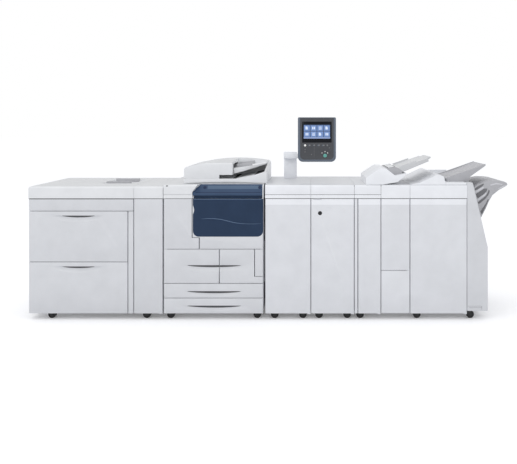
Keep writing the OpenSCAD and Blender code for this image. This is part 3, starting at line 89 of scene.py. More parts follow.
class PrinterColours(bpy.types.PropertyGroup):
    """Colours of the finishes"""

    panel: FloatVectorProperty(name="Panels", description="Doors, drawer fronts and cabinets",
                               subtype="COLOR", size=3, default=(0.70, 0.71, 0.735))
    cover: FloatVectorProperty(name="Covers", description="Lids, worktops and document feeder",
                               subtype="COLOR", size=3, default=(0.80, 0.81, 0.825))
    tray: FloatVectorProperty(name="Output trays", description="Grey output trays and guides",
                              subtype="COLOR", size=3, default=(0.47, 0.47, 0.49))
    blue: FloatVectorProperty(name="Blue panel", description="Dark blue panel of the engine's door",
                              subtype="COLOR", size=3, default=(0.024, 0.044, 0.087))
    light_blue: FloatVectorProperty(name="Sloped cover", description="Sloped blue cover over the door",
                                    subtype="COLOR", size=3, default=(0.047, 0.080, 0.148))
    screen: FloatVectorProperty(name="Screen", description="Lit area of the control panel",
                                subtype="COLOR", size=3, default=(0.12, 0.20, 0.40))


# ---------------------------------------------------------------- finishes
def moulded(name, colour, rough=0.42, grain=900.0, depth=0.00012, spread=0.03, coat=0.0, metal=0.0, shine=0.5):
    """Moulded or painted finish: faint mottling, fine grain and a slightly uneven gloss."""
    name = "finish_" + name  # the frame's own materials bear the slots' names
    if name in bpy.data.materials:
        return bpy.data.materials[name]
    m = bpy.data.materials.new(name)
    m.use_nodes = True
    m.diffuse_color = (*colour, 1)
    n, link = m.node_tree.nodes, m.node_tree.links
    s = n["Principled BSDF"]
    s.inputs["Metallic"].default_value = metal
    s.inputs["Coat Weight"].default_value = coat
    s.inputs["Coat Roughness"].default_value = 0.12
    s.inputs["Specular IOR Level"].default_value = shine
    where = n.new("ShaderNodeTexCoord")
    mottle = n.new("ShaderNodeTexNoise")
    mottle.inputs["Scale"].default_value = 9.0
    mottle.inputs["Detail"].default_value = 4.0
    ramp = n.new("ShaderNodeValToRGB")
    ramp.color_ramp.elements[0].position, ramp.color_ramp.elements[1].position = 0.3, 0.7
    ramp.color_ramp.elements[0].color = (*[c * (1 - spread) for c in colour], 1)
    ramp.color_ramp.elements[1].color = (*[min(1, c * (1 + spread)) for c in colour], 1)
    fine = n.new("ShaderNodeTexNoise")
    fine.inputs["Scale"].default_value = grain
    fine.inputs["Detail"].default_value = 2.0
    gloss = n.new("ShaderNodeMapRange")
    gloss.inputs["To Min"].default_value, gloss.inputs["To Max"].default_value = rough - 0.05, rough + 0.05
    bump = n.new("ShaderNodeBump")
    bump.inputs["Strength"].default_value = 0.35
    bump.inputs["Distance"].default_value = depth
    for tex in (mottle, fine):
        link.new(where.outputs["Object"], tex.inputs["Vector"])
    link.new(mottle.outputs["Fac"], ramp.inputs["Fac"])
    link.new(ramp.outputs["Color"], s.inputs["Base Color"])
    link.new(mottle.outputs["Fac"], gloss.inputs["Value"])
    link.new(gloss.outputs["Result"], s.inputs["Roughness"])
    link.new(fine.outputs["Fac"], bump.inputs["Height"])
    link.new(bump.outputs["Normal"], s.inputs["Normal"])
    return m


def finish_of(slot):
    """The finish that belongs to one of the record's material slots."""
    c = bpy.context.scene.printer_colours
    depth = bpy.context.scene.printer_sizes.grain_depth
    table = {
        "white_panel": dict(colour=c.panel, rough=0.45, depth=depth),
        "pale_cover": dict(colour=c.cover, rough=0.45, depth=depth),
        # painted shade: a darker copy of the covers for their top faces
        "shaded_cover_top": dict(colour=tuple(0.78 * v for v in c.cover), rough=0.45, depth=depth),
        "finishing_panel": dict(colour=tuple(1.11 * v for v in c.panel), rough=0.45, depth=depth),
        # painted shade: a darker copy of the panels for the worktops' top faces
        "worktop": dict(colour=tuple(0.92 * v for v in c.panel), rough=0.45, depth=depth),
        # painted highlight: a lighter copy of the panels for the bands and the doors' rounded crowns
        "highlight_white": dict(colour=tuple(1.28 * v for v in c.panel), rough=0.4, depth=depth),
        "grey_plastic": dict(colour=c.tray, rough=0.5, depth=depth),
        "dark_plastic": dict(colour=(0.055, 0.058, 0.066), rough=0.38, depth=depth),
        "blue_paint": dict(colour=c.blue, rough=0.4, grain=400, depth=0.00003, spread=0.06, shine=0.12),
        "light_blue_paint": dict(colour=c.light_blue, rough=0.4, grain=400, depth=0.00003, spread=0.05, shine=0.15),
        "drum_coating": dict(colour=(0.05, 0.16, 0.14), rough=0.22, grain=300, depth=0.00001, metal=0.6),
        "glass": dict(colour=(0.10, 0.13, 0.14), rough=0.08, grain=50, depth=0.0, coat=0.6),
        "screen_glass": dict(colour=(0.006, 0.007, 0.010), rough=0.12, grain=50, depth=0.0, shine=0.12),
        "green_plastic": dict(colour=(0.13, 0.42, 0.36), rough=0.3, grain=400, depth=0.00003),
        "lock_metal": dict(colour=(0.028, 0.028, 0.03), rough=0.4, grain=800, depth=0.00005, shine=0.2),
        "caster_steel": dict(colour=(0.012, 0.012, 0.013), rough=0.42, grain=500, depth=0.0001),
        "caster_rubber": dict(colour=(0.010, 0.010, 0.011), rough=0.6, grain=700, depth=0.0002),
    }
    return moulded(slot, **table[slot])


# ---------------------------------------------------------------- building blocks
def keep(bm, name, body, slot, finish=None):
    """Turns a finished bmesh into a piece that rides on its body."""
    mesh = bpy.data.meshes.new(name)
    bm.to_mesh(mesh)
    bm.free()
    piece = bpy.data.objects.new(name, mesh)
    bpy.context.scene.collection.objects.link(piece)
    mesh.shade_smooth()
    mesh.set_sharp_from_angle(angle=SHARP_ANGLE)
    mesh.materials.append(finish or finish_of(slot))
    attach(piece, body)
    return piece


def bevel(bm, edges, width, segments=2):
    """Rounds the given edges."""
    bmesh.ops.bevel(bm, geom=edges, offset=width, offset_type="OFFSET", affect="EDGES", segments=segments,
                    profile=0.5, material=-1, clamp_overlap=True)


def round_edges(bm, width, segments=2):
    """Rounds every edge that turns clearly."""
    edges = [e for e in bm.edges if len(e.link_faces) == 2 and e.calc_face_angle(0) > ROUNDED_ANGLE]
    bevel(bm, edges, width, segments)


def cut_flat(bm, place, axis):
    """Cuts every face along a plane."""
    bmesh.ops.bisect_plane(bm, geom=[*bm.verts, *bm.edges, *bm.faces], plane_co=place, plane_no=axis)


def soften(node, width, segments=2, finish=None, crown=0.0, cuts=()):
    """A merged copy of a solid with rounded edges, kept inside the solid's box and shown in its place. Crown rounds
    its upper front edge more, and level cuts part its faces for a second finish."""
    low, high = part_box(node)
    bm = bmesh.new()
    bm.from_mesh(frame["nodes"][node].data)
    bmesh.ops.remove_doubles(bm, verts=bm.verts, dist=1e-5)
    bmesh.ops.dissolve_limit(bm, angle_limit=FLAT_ANGLE, verts=bm.verts, edges=bm.edges)
    if crown:
        bevel(bm, [e for e in bm.edges if all(v.co.z > high.z - 1e-4 and v.co.y < low.y + 1e-4 for v in e.verts)],
              crown, 6)
    round_edges(bm, width, segments)
    for v in bm.verts:
        v.co = [min(max(c, a), b) for c, a, b in zip(v.co, low, high)]
    for z in cuts:
        cut_flat(bm, (0, 0, z), (0, 0, 1))
    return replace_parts(keep(bm, node + "_shell", BODY_OF[node], SLOT_OF[node], finish), node)


def block(bm, low, high, edge=0.0, segments=2):
    """Adds a box with rounded edges, given by its corners."""
    low, high = Vector(low), Vector(high)
    made = bmesh.ops.create_cube(bm, size=1.0)["verts"]
    bmesh.ops.scale(bm, vec=high - low, verts=made)
    bmesh.ops.translate(bm, vec=(low + high) / 2, verts=made)
    if edge:
        bevel(bm, list({e for v in made for e in v.link_edges}), edge, segments)


def plate(bm, outline, y0, y1):
    """Adds a plate of the outline (x, z), from y0 back to y1."""
    face = bm.faces.new([bm.verts.new((x, y0, z)) for x, z in outline])
    grown = bmesh.ops.extrude_face_region(bm, geom=[face])["geom"]
    bmesh.ops.translate(bm, vec=(0, y1 - y0, 0), verts=[g for g in grown if isinstance(g, bmesh.types.BMVert)])
    bmesh.ops.recalc_face_normals(bm, faces=bm.faces)


def disc(bm, place, radius, depth, segments=32):
    """Adds a short round boss that faces the front and narrows a little towards it."""
    bmesh.ops.create_cone(bm, cap_ends=True, segments=segments, radius1=radius, radius2=radius * 0.94, depth=depth,
                          matrix=Matrix.Translation(place) @ TO_FRONT)


def scoop_shade(name, body, x, z, half_w, drop, span, tall, u0=-1.0, u1=1.0, depth=0.017):
    """Dark crescent of painted shade in a finger scoop, under its flat upper edge. The scoop is part of a ring,
    half_w to each side, drop high and depth deep; the crescent lies just in front of it from u0 to u1 of its half
    width, span."""
    lift = 0.0007  # the sheet's distance from the scoop
    lip = 0.0003  # its upper edge stays below the scoop's
    section = (drop * drop + depth * depth) / (2 * depth)
    ring = (half_w * half_w + depth * depth) / (2 * depth) - section
    y = FRONT_Y + depth - section - ring
    bm = bmesh.new()
    bmesh.ops.create_grid(bm, x_segments=32, y_segments=3, size=1.0)
    for v in bm.verts:
        u = u0 + (u1 - u0) * (v.co.x + 1) / 2
        down = (v.co.y - 1) / 2 * max(tall * (1 - u * u) ** 0.7, 0.0004) - lip
        reach = ring + math.sqrt(section * section - down * down)
        v.co = (x + u * span, y + math.sqrt(reach * reach - (u * span) ** 2) - lift, z + down)
    bmesh.ops.solidify(bm, geom=bm.faces, thickness=0.0016)
    bmesh.ops.recalc_face_normals(bm, faces=bm.faces)
    return keep(bm, name, body, "dark_plastic", moulded("scoop_shade_finish", (0.10, 0.10, 0.105), rough=0.7))


def two_tone(piece, finish, wanted):
    """Gives the faces that pass a test one more finish; a later call wins over an earlier one."""
    piece.data.materials.append(finish)
    for face in piece.data.polygons:
        if wanted(face):
            face.material_index = len(piece.data.materials) - 1


def dark_gap_shade():
    """Painted shade for the gaps and dark lines between the fronts."""
    return moulded("seal", (0.06, 0.06, 0.062), rough=0.7)


def painted(name, colour, rough=0.4):
    """Smooth paint with little shine."""
    return moulded(name, colour, rough=rough, grain=400.0, depth=0.00003, shine=0.2)


def glow(name, colour, strength):
    """A lit surface of the screen."""
    m = moulded(name, colour, rough=0.2, grain=60.0, depth=0.0, spread=0.04)
    s = m.node_tree.nodes["Principled BSDF"]
    s.inputs["Emission Color"].default_value = (*colour, 1)
    s.inputs["Emission Strength"].default_value = strength
    return m


class PRINTER_OT_cabinets(bpy.types.Operator):
    """Cabinets of the feeder, the engine and the finishing modules"""

    bl_idname = "printer.cabinets"
    bl_label = "Cabinets"

    def execute(self, context):
        sizes = context.scene.printer_sizes
        # the engine's back steps in under its rear plate, and the side cover's face under its lines
        rear_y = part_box("engine_cabinet")[1].y - REAR_STEP
        for v in soften("engine_cabinet", sizes.panel_edge).data.vertices:
            v.co.y = min(v.co.y, rear_y)
        cover_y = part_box("finisher_side_cover")[0].y + COVER_STEP
        for v in soften("finisher_side_cover", sizes.panel_edge).data.vertices:
            v.co.y = max(v.co.y, cover_y)
        # painted shade in the gap under the feeder's lid
        lid_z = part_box("transfer_door")[1].z
        z0, z1 = lid_z - 0.002, lid_z + BAND_LINE
        for node, edge in (("feeder_cabinet", sizes.panel_edge), ("feeder_top_cover", sizes.cover_edge)):
            piece = soften(node, edge, cuts=(z0, z1))
            two_tone(piece, dark_gap_shade(), lambda f: z0 < f.center.z < z1 and f.center.y < FRONT_Y + LINE_REACH)
        # painted shade: the lid's top faces take a darker copy of the cover's colour
        two_tone(piece, finish_of("shaded_cover_top"), lambda f: f.normal.z > 0.9)
        # the finishing modules' bands with a painted highlight, the painted shade lines under them and their
        # worktops, painted a shade darker on top
        band_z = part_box("decurler_door")[1].z
        line_z = band_z + BAND_LINE
        for node in ("decurler_cabinet", "punch_cabinet", "inserter_cabinet", "folder_cabinet", "finisher_cabinet"):
            piece = soften(node, sizes.panel_edge, finish=finish_of("finishing_panel"), cuts=(line_z,))
            two_tone(piece, finish_of("highlight_white"),
                     lambda f: f.center.z > band_z and f.center.y < FRONT_Y + 0.03 and f.normal.z < 0.8)
            two_tone(piece, dark_gap_shade(), lambda f: band_z < f.center.z < line_z and f.center.y < FRONT_Y + LINE_REACH)
            two_tone(piece, finish_of("worktop"), lambda f: f.normal.z > 0.8 and f.center.z < WORKTOP_Z + 0.001)
        # the scanner housing, with painted shade on its top faces and in a line left of the blue panel, and the power
        # switch
        line_z = band_z + SCANNER_LINE
        blue_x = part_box("blue_panel")[0].x
        piece = soften("scanner_housing", sizes.cover_edge, cuts=(line_z,))
        two_tone(piece, finish_of("shaded_cover_top"), lambda f: f.normal.z > 0.9)
        two_tone(piece, dark_gap_shade(), lambda f: (
            band_z < f.center.z < line_z and f.center.y < FRONT_Y + LINE_REACH and f.center.x < blue_x))
        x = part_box("scanner_housing")[0].x
        bm = bmesh.new()
        block(bm, (x + 0.018, FRONT_Y + 0.0004, 0.9545), (x + 0.032, FRONT_Y + 0.007, 0.9655), 0.0008)
        keep(bm, "power_switch", BODY_OF["scanner_housing"], "dark_plastic")
        self.groove_shades()
        self.foot_lines()
        self.rear_plates()
        return {"FINISHED"}

    @staticmethod
    def rear_plates():
        """Rear plates with rows of slots over dark fields of painted shade, held by screws. A row is given by its
        left and right end and its foot, as shares of the plate, and by its number of slots."""
        side, foot_rim, head_rim, top_z = 0.014, 0.016, 0.040, 0.90  # rims round the plates and their highest edge
        pitch, slot_h, field_rim = 0.014, 0.006, 0.004
        screw_in, screw_r = 0.012, 0.0045
        vent_shade_finish = moulded("vent_shade", (0.05, 0.05, 0.052), rough=0.8)
        for node, vents in (
            ("feeder_cabinet", ((0.08, 0.30, 0.70, 8), (0.70, 0.92, 0.70, 8))),
            ("engine_cabinet", ((0.10, 0.40, 0.74, 10), (0.60, 0.90, 0.74, 10), (0.35, 0.65, 0.12, 6))),
            ("decurler_cabinet", ((0.20, 0.80, 0.76, 6),)),
            ("punch_cabinet", ((0.20, 0.80, 0.76, 6),)),
            ("inserter_cabinet", ((0.20, 0.80, 0.76, 6),)),
            ("folder_cabinet", ((0.15, 0.85, 0.14, 5),)),
            ("finisher_cabinet", ((0.12, 0.44, 0.76, 8), (0.56, 0.88, 0.14, 6))),
        ):
            low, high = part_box(node)
            y = high.y - (REAR_STEP if node == "engine_cabinet" else 0.0)
            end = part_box("folder_cabinet")[0].x if node == "inserter_cabinet" else high.x
            x0, x1, z0, z1 = low.x + side, end - side, low.z + foot_rim, min(high.z, top_z) - head_rim
            bm = bmesh.new()
            bm.faces.new([bm.verts.new((x, y + 0.0013, z)) for x, z in ((x1, z0), (x0, z0), (x0, z1), (x1, z1))])
            shade, slots = bmesh.new(), []
            for u0, u1, v, count in vents:
                left, right, foot = x0 + u0 * (x1 - x0), x0 + u1 * (x1 - x0), z0 + v * (z1 - z0)
                block(shade, (left - field_rim, y + 0.0001, foot - field_rim),
                      (right + field_rim, y + 0.0005, foot + count * pitch))
                slots += [(left, right, foot + i * pitch, foot + i * pitch + slot_h) for i in range(count)]
            for axis, k in (((1, 0, 0), 0), ((0, 0, 1), 2)):
                for place in sorted({q for slot in slots for q in slot[k:k + 2]}):
                    cut_flat(bm, [place * a for a in axis], axis)
            bmesh.ops.delete(bm, context="FACES", geom=[f for f in bm.faces if any(
                a < f.calc_center_median().x < b and c < f.calc_center_median().z < d for a, b, c, d in slots)])
            bmesh.ops.solidify(bm, geom=bm.faces, thickness=0.001)
            for x in (x0 + screw_in, x1 - screw_in):
                for z in (z0 + screw_in, (z0 + z1) / 2, z1 - screw_in):
                    bmesh.ops.create_cone(bm, cap_ends=True, segments=20, radius1=screw_r, radius2=screw_r,
                                          depth=0.0006, matrix=Matrix.Translation((x, y + 0.0012, z)) @ TO_FRONT)
            finish = finish_of("white_panel" if node in ("feeder_cabinet", "engine_cabinet") else "finishing_panel")
            keep(bm, node + "_rear_plate", BODY_OF[node], "white_panel", finish)
            keep(shade, node + "_vents", BODY_OF[node], "dark_plastic", vent_shade_finish)

    @staticmethod
    def groove_shades():
        """Painted shade: dark strips in the grooves along the worktop bands."""
        finish = moulded("trim_inlay", (0.035, 0.035, 0.037), rough=0.7)
        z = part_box("decurler_door")[1].z + 0.030
        half = 0.0014
        folder_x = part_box("folder_cabinet")[0].x  # the inserter's box runs on over the folder
        for node in ("decurler_cabinet", "punch_cabinet", "inserter_cabinet"):
            x0, x1 = (corner.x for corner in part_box(node))
            bm = bmesh.new()
            block(bm, (x0 + 0.001, FRONT_Y + 0.0008, z - half),
                  (min(x1, folder_x) - 0.001, FRONT_Y + 0.0052, z + half), 0.0003)
            keep(bm, node + "_inlay", BODY_OF[node], "dark_plastic", finish)
        # painted shade in the upright joints of the worktop's front on both sides of the inserter
        bm = bmesh.new()
        for x in (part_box("inserter_cabinet")[0].x, folder_x):
            block(bm, (x - 0.0017, FRONT_Y + 0.0003, z - 0.026), (x + 0.0015, FRONT_Y + 0.004, WORKTOP_Z - 0.004),
                  0.0003)
        keep(bm, "worktop_joint_shade", BODY_OF["inserter_cabinet"], "dark_plastic", finish)

    @staticmethod
    def foot_lines():
        """Two level lines and an upright one at the foot of the finisher's side cover."""
        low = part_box("finisher_side_cover")[0]
        finish = moulded("cover_lines", (0.30, 0.30, 0.31), rough=0.7)
        bm = bmesh.new()
        for x0, x1, z0, z1 in ((0.004, 0.104, 0.034, 0.036), (0.012, 0.104, 0.023, 0.025),
                               (0.103, 0.105, 0.010, 0.036)):
            block(bm, (low.x + x0, low.y + 0.00005, low.z + z0), (low.x + x1, low.y + 0.001, low.z + z1), 0.0004)
        keep(bm, "side_cover_foot", BODY_OF["finisher_side_cover"], "grey_plastic", finish)


class PRINTER_OT_fronts(bpy.types.Operator):
    """Doors and drawer fronts with their finger scoops"""

    bl_idname = "printer.fronts"
    bl_label = "Doors and drawers"

    def execute(self, context):
        sizes = context.scene.printer_sizes
        for node in ("feeder_upper_drawer", "feeder_lower_drawer", "engine_right_door", "tandem_tray_left",
                     "tandem_tray_right", "paper_tray_3", "paper_tray_4"):
            soften(node, sizes.panel_edge)
        # painted shade on the doors' upper faces, for the gap above them: plain doors first, then those with a
        # painted highlight strip and a rounder crown
        for node in ("transfer_door", "engine_left_door"):
            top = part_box(node)[1].z
            two_tone(soften(node, sizes.panel_edge, crown=0.008), dark_gap_shade(), lambda f: f.center.z > top - 0.0024)
        for node in ("decurler_door", "punch_door", "inserter_door", "folder_door", "finisher_door"):
            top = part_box(node)[1].z
            strip_z = top - CROWN_HIGHLIGHT
            piece = soften(node, sizes.panel_edge, finish=finish_of("finishing_panel"), crown=0.012, cuts=(strip_z,))
            two_tone(piece, finish_of("highlight_white"), lambda f: f.center.z > strip_z and f.normal.y < -0.3)
            two_tone(piece, dark_gap_shade(), lambda f: f.center.z > top - 0.0036)
        soften("folder_tray", sizes.panel_edge, finish=finish_of("finishing_panel"))
        self.scoop_shades()
        self.gap_shades()
        return {"FINISHED"}

    @staticmethod
    def scoop_shades():
        """Painted shade: dark crescents in the finger scoops."""
        for node in ("feeder_upper_drawer", "feeder_lower_drawer"):
            low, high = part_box(node)
            scoop_shade(node + "_grip", BODY_OF[node], (low.x + high.x) / 2, high.z - 0.030, half_w=0.178, drop=0.046,
                 span=0.118, tall=0.0135)
        # the two tandem trays share one scoop, parted where they meet
        half_w, span = 0.216, 0.197
        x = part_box("engine_cabinet")[0].x + HANDLE_IN
        split = (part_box("tandem_tray_left")[1].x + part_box("tandem_tray_right")[0].x) / 2
        u = (split - x) / span
        for side, u0, u1 in (("left", -1.0, u - 0.012), ("right", u + 0.012, 1.0)):
            scoop_shade(f"tandem_{side}_grip", BODY_OF[f"tandem_tray_{side}"], x, 0.392, half_w, drop=0.046, span=span,
                 tall=0.016, u0=u0, u1=u1)
        for node, z in (("paper_tray_3", 0.205), ("paper_tray_4", 0.101)):
            scoop_shade(node + "_grip", BODY_OF[node], x, z, half_w, drop=0.0322, span=span, tall=0.0165)

    @staticmethod
    def gap_shades():
        """Dark strips of painted shade on the upper edges of doors and drawer fronts, for the gaps above them."""
        for node in ("feeder_lower_drawer", "tandem_tray_left", "tandem_tray_right", "paper_tray_3", "paper_tray_4",
                     "folder_tray"):
            low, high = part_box(node)
            bm = bmesh.new()
            block(bm, (low.x + 0.005, FRONT_Y + 0.0125, high.z - 0.001),
                  (high.x - 0.005, FRONT_Y + 0.0225, high.z + 0.0024), 0.0006)
            keep(bm, node + "_seal", BODY_OF[node], "dark_plastic", dark_gap_shade())


class PRINTER_OT_engine(bpy.types.Operator):
    """Blue panel, sloped cover and the parts behind them"""

    bl_idname = "printer.engine"
    bl_label = "Engine details"

    def execute(self, context):
        sizes = context.scene.printer_sizes
        for node in ("toner_cover", "toner_cartridges", "photoreceptor_drum", "fuser_unit", "platen_glass"):
            soften(node, sizes.small_edge)
        # the face steps back under the two lines of painted highlight
        for v in soften("blue_panel", sizes.small_edge).data.vertices:
            v.co.y = max(v.co.y, FRONT_Y + COVER_STEP)
        # painted highlight: light blue for the crease and the panel's top edge
        line = painted("blue_line_highlight", (0.15, 0.22, 0.34), 0.5)
        self.wave(line)
        self.ledge()
        self.slope_details()
        self.top_line(line)
        return {"FINISHED"}

    @staticmethod
    def wave(finish):
        """Painted highlight along the crease that swings down across the blue panel, widest in its middle."""
        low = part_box("blue_panel")[0]
        half = 0.0016
        points = ((0.063, 0.1275, 0.3), (0.110, 0.1310, 0.7), (0.155, 0.1300, 1.0), (0.200, 0.1245, 1.1),
                  (0.245, 0.1145, 1.1), (0.290, 0.1025, 1.0), (0.335, 0.0955, 0.8), (0.380, 0.0925, 0.6),
                  (0.435, 0.0915, 0.5), (0.490, 0.0945, 0.3))
        rim = [(low.x + x, low.z + z + half * w) for x, z, w in points]
        rim += [(low.x + x, low.z + z - half * w) for x, z, w in reversed(points)]
        bm = bmesh.new()
        plate(bm, rim, FRONT_Y + 0.0001, FRONT_Y + 0.0014)
        keep(bm, "blue_panel_wave_highlight", BODY_OF["blue_panel"], "light_blue_paint", finish)

    @staticmethod
    def ledge():
        """Dark blue strip between the sloped cover and the panel."""
        low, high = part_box("blue_panel")
        slope_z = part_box("toner_cover")[0].z
        bm = bmesh.new()
        block(bm, (low.x + 0.004, FRONT_Y + 0.0137, high.z + 0.0005),
              (high.x - 0.004, FRONT_Y + 0.0155, slope_z + 0.004), 0.0005)
        keep(bm, "blue_ledge", BODY_OF["scanner_housing"], "blue_paint")

    @staticmethod
    def slope_details():
        """Lighter field, lower line and two round marks on the sloped cover, drawn flat (x along it, y up the slope,
        z out of it) and then laid on it."""
        low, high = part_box("toner_cover")
        lying = Matrix.Translation((0, low.y, low.z + 0.012)) @ Matrix.Rotation(math.radians(45.5), 4, "X")
        field, marks = bmesh.new(), bmesh.new()
        block(field, (low.x + 0.103, 0.044, -0.0004), (high.x - 0.030, 0.077, 0.0006), 0.0003)
        block(marks, (low.x + 0.020, 0.010, -0.0004), (high.x - 0.012, 0.0155, 0.0007), 0.0003)
        for x in (low.x + 0.083, high.x - 0.020):
            bmesh.ops.create_cone(marks, cap_ends=True, segments=32, radius1=0.0125, radius2=0.0115, depth=0.0026,
                                  matrix=Matrix.Translation((x, 0.060, 0.0006)))
        for bm, name, colour in ((field, "slope_field", (0.095, 0.145, 0.225)),
                                 (marks, "slope_marks", (0.016, 0.030, 0.075))):
            bmesh.ops.transform(bm, matrix=lying, verts=bm.verts)
            keep(bm, name, BODY_OF["toner_cover"], "light_blue_paint", painted(name, colour))

    @staticmethod
    def top_line(finish):
        """Painted highlight along the top edge of the blue panel."""
        low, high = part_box("blue_panel")
        bm = bmesh.new()
        block(bm, (low.x + 0.006, FRONT_Y + 0.0001, high.z - 0.0042),
              (high.x - 0.012, FRONT_Y + 0.001, high.z - 0.0014), 0.0002)
        keep(bm, "blue_panel_edge_highlight", BODY_OF["blue_panel"], "light_blue_paint", finish)


class PRINTER_OT_document_feeder(bpy.types.Operator):
    """Document feeder with its feed cover, tray and guides"""

    bl_idname = "printer.document_feeder"
    bl_label = "Document feeder"

    def execute(self, context):
        sizes = context.scene.printer_sizes
        # painted shade: the feeder's top faces take a darker copy of the cover's colour
        for node in ("dadf_base", "dadf_feed_cover"):
            two_tone(soften(node, sizes.panel_edge, 3), finish_of("shaded_cover_top"), lambda f: f.normal.z > 0.8)
        for node in ("document_tray", "document_guide_front", "document_guide_rear"):
            soften(node, sizes.small_edge)
        # dark liner on the floor of the exit, which rises towards its right end: partly the exit's own dark plastic,
        # partly painted shade in the exit
        low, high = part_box("dadf_base")
        mouth = high.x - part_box("dadf_feed_cover")[1].x - 0.002
        floor_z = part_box("dadf_feed_cover")[0].z - 0.0003
        outline = ((mouth, -0.0004), (mouth, 0.0008), (0.2150, 0.0008), (0.0370, 0.0356), (0.0190, 0.0356),
                   (0.0190, 0.0346), (0.0365, 0.0346), (0.2145, -0.0004))
        bm = bmesh.new()
        plate(bm, [(high.x - x, floor_z + z) for x, z in outline], low.y + 0.019, 0.118)
        shade = moulded("exit_shade", (0.030, 0.030, 0.030), rough=0.6)
        keep(bm, "exit_liner_shade", BODY_OF["dadf_base"], "dark_plastic", shade)
        return {"FINISHED"}


class PRINTER_OT_control_panel(bpy.types.Operator):
    """Control panel on its post, with screen, keys and start button"""

    bl_idname = "printer.control_panel"
    bl_label = "Control panel"

    def execute(self, context):
        sizes = context.scene.printer_sizes
        for node in ("ui_post", "ui_arm"):
            # the post and arm take the same lighter white as the painted highlights
            soften(node, sizes.small_edge, finish=finish_of("highlight_white"))
        for node in ("ui_screen", "start_button"):
            soften(node, sizes.small_edge)
        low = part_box("ui_panel")[0]
        face_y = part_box("ui_screen")[0].y
        rim = moulded("panel_rim", (0.115, 0.14, 0.18), rough=0.35, depth=0.00004)
        two_tone(soften("ui_panel", sizes.small_edge), rim,
                 lambda f: f.center.y < face_y - 0.0004 or abs(f.normal.x) > 0.7 and f.center.y < low.y + 0.03)
        self.display(tuple(context.scene.printer_colours.screen))
        self.keys(low, face_y)
        return {"FINISHED"}

    @staticmethod
    def display(colour):
        """Lit area with two rows of plain tiles and a footer. Each tile bears a sheet with a cut corner, two bars or
        three lines."""
        low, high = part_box("ui_screen")
        front, mid = low.y, (low.x + high.x) / 2
        x0, x1 = mid - 0.105, mid + 0.105
        z1 = high.z - 0.024
        z0 = z1 - 0.109
        footer_h, top_rim, tile_share = 0.009, 0.003, 0.44
        field, tiles, signs, footer = (bmesh.new() for _ in range(4))
        block(field, (x0, front - 0.0004, z0), (x1, front + 0.0004, z1))
        pitch, row = (x1 - x0) / 4, (z1 - z0 - footer_h - top_rim) / 2
        w, h = pitch * tile_share, row * tile_share
        y0, y1 = front - 0.0013, front - 0.0007
        sheet = ((-0.5, -0.5), (0.3, -0.5), (0.3, 0.2), (0.05, 0.6), (-0.5, 0.6))
        for i in range(8):
            cx, cz = x0 + pitch * (i % 4 + 0.5), z1 - top_rim - row * (i // 4 + 0.5)
            block(tiles, (cx - w, front - 0.0009, cz - h), (cx + w, front - 0.0002, cz + h), 0.0002)
            if i % 3 == 0:
                plate(signs, [(cx + w * u, cz + h * v) for u, v in sheet], y0, y1)
            elif i % 3 == 1:
                for s in (-1, 1):
                    bar = cx + s * w * 0.28
                    block(signs, (bar - w * 0.2, y0, cz - h * 0.45), (bar + w * 0.2, y1, cz + h * 0.5))
            else:
                for s in range(3):
                    step = s * h * 0.4
                    block(signs, (cx - w * 0.5, y0, cz - h * 0.5 + step), (cx + w * 0.5, y1, cz - h * 0.28 + step))
        block(footer, (x0, front - 0.0008, z0), (x1, front - 0.0002, z0 + footer_h))
        for bm, name, shade, strength in (
            (field, "screen_field", tuple(0.35 * c for c in colour), 0.35),
            (tiles, "screen_tiles", colour, 0.5),
            (signs, "screen_signs", (0.55, 0.62, 0.75), 0.45),
            (footer, "screen_footer", (0.26, 0.34, 0.56), 0.4),
        ):
            keep(bm, name, "control_panel", "screen_glass", glow(name, shade, strength))

    @staticmethod
    def keys(low, face_y):
        """Row of round keys, small marks and the ring of the start button."""
        b0, b1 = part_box("start_button")
        z = low.z + 0.130
        key_y, key_depth = face_y - 0.001, 0.003
        mark_y, mark_depth = face_y - 0.0006, 0.002
        pale, dim = bmesh.new(), bmesh.new()
        disc(pale, (low.x + 0.057, key_y, z), 0.0085, key_depth)
        for x in (0.093, 0.130, 0.168, 0.205, 0.233):
            disc(dim, (low.x + x, key_y, z + 0.001), 0.0065, key_depth)
        for x, dz in ((0.057, -0.032), (0.057, -0.052), (0.108, -0.072), (0.249, -0.020)):
            disc(dim, (low.x + x, mark_y, z + dz), 0.0038, mark_depth, 16)
        for dx, dz in ((-0.024, 0.021), (0.0, 0.032), (0.020, 0.021)):
            disc(pale, ((b0.x + b1.x) / 2 + dx, mark_y, (b0.z + b1.z) / 2 + dz), 0.0036, mark_depth, 16)
        block(dim, (low.x + 0.128, face_y - 0.0005, low.z + 0.04), (low.x + 0.1292, face_y + 0.0005, z - 0.012))
        for bm, name, finish in ((pale, "panel_lit_keys", glow("panel_lit_keys", (0.72, 0.72, 0.70), 0.35)),
                                 (dim, "panel_keys", moulded("panel_keys", (0.20, 0.20, 0.21), rough=0.4))):
            keep(bm, name, "control_panel", "dark_plastic", finish)


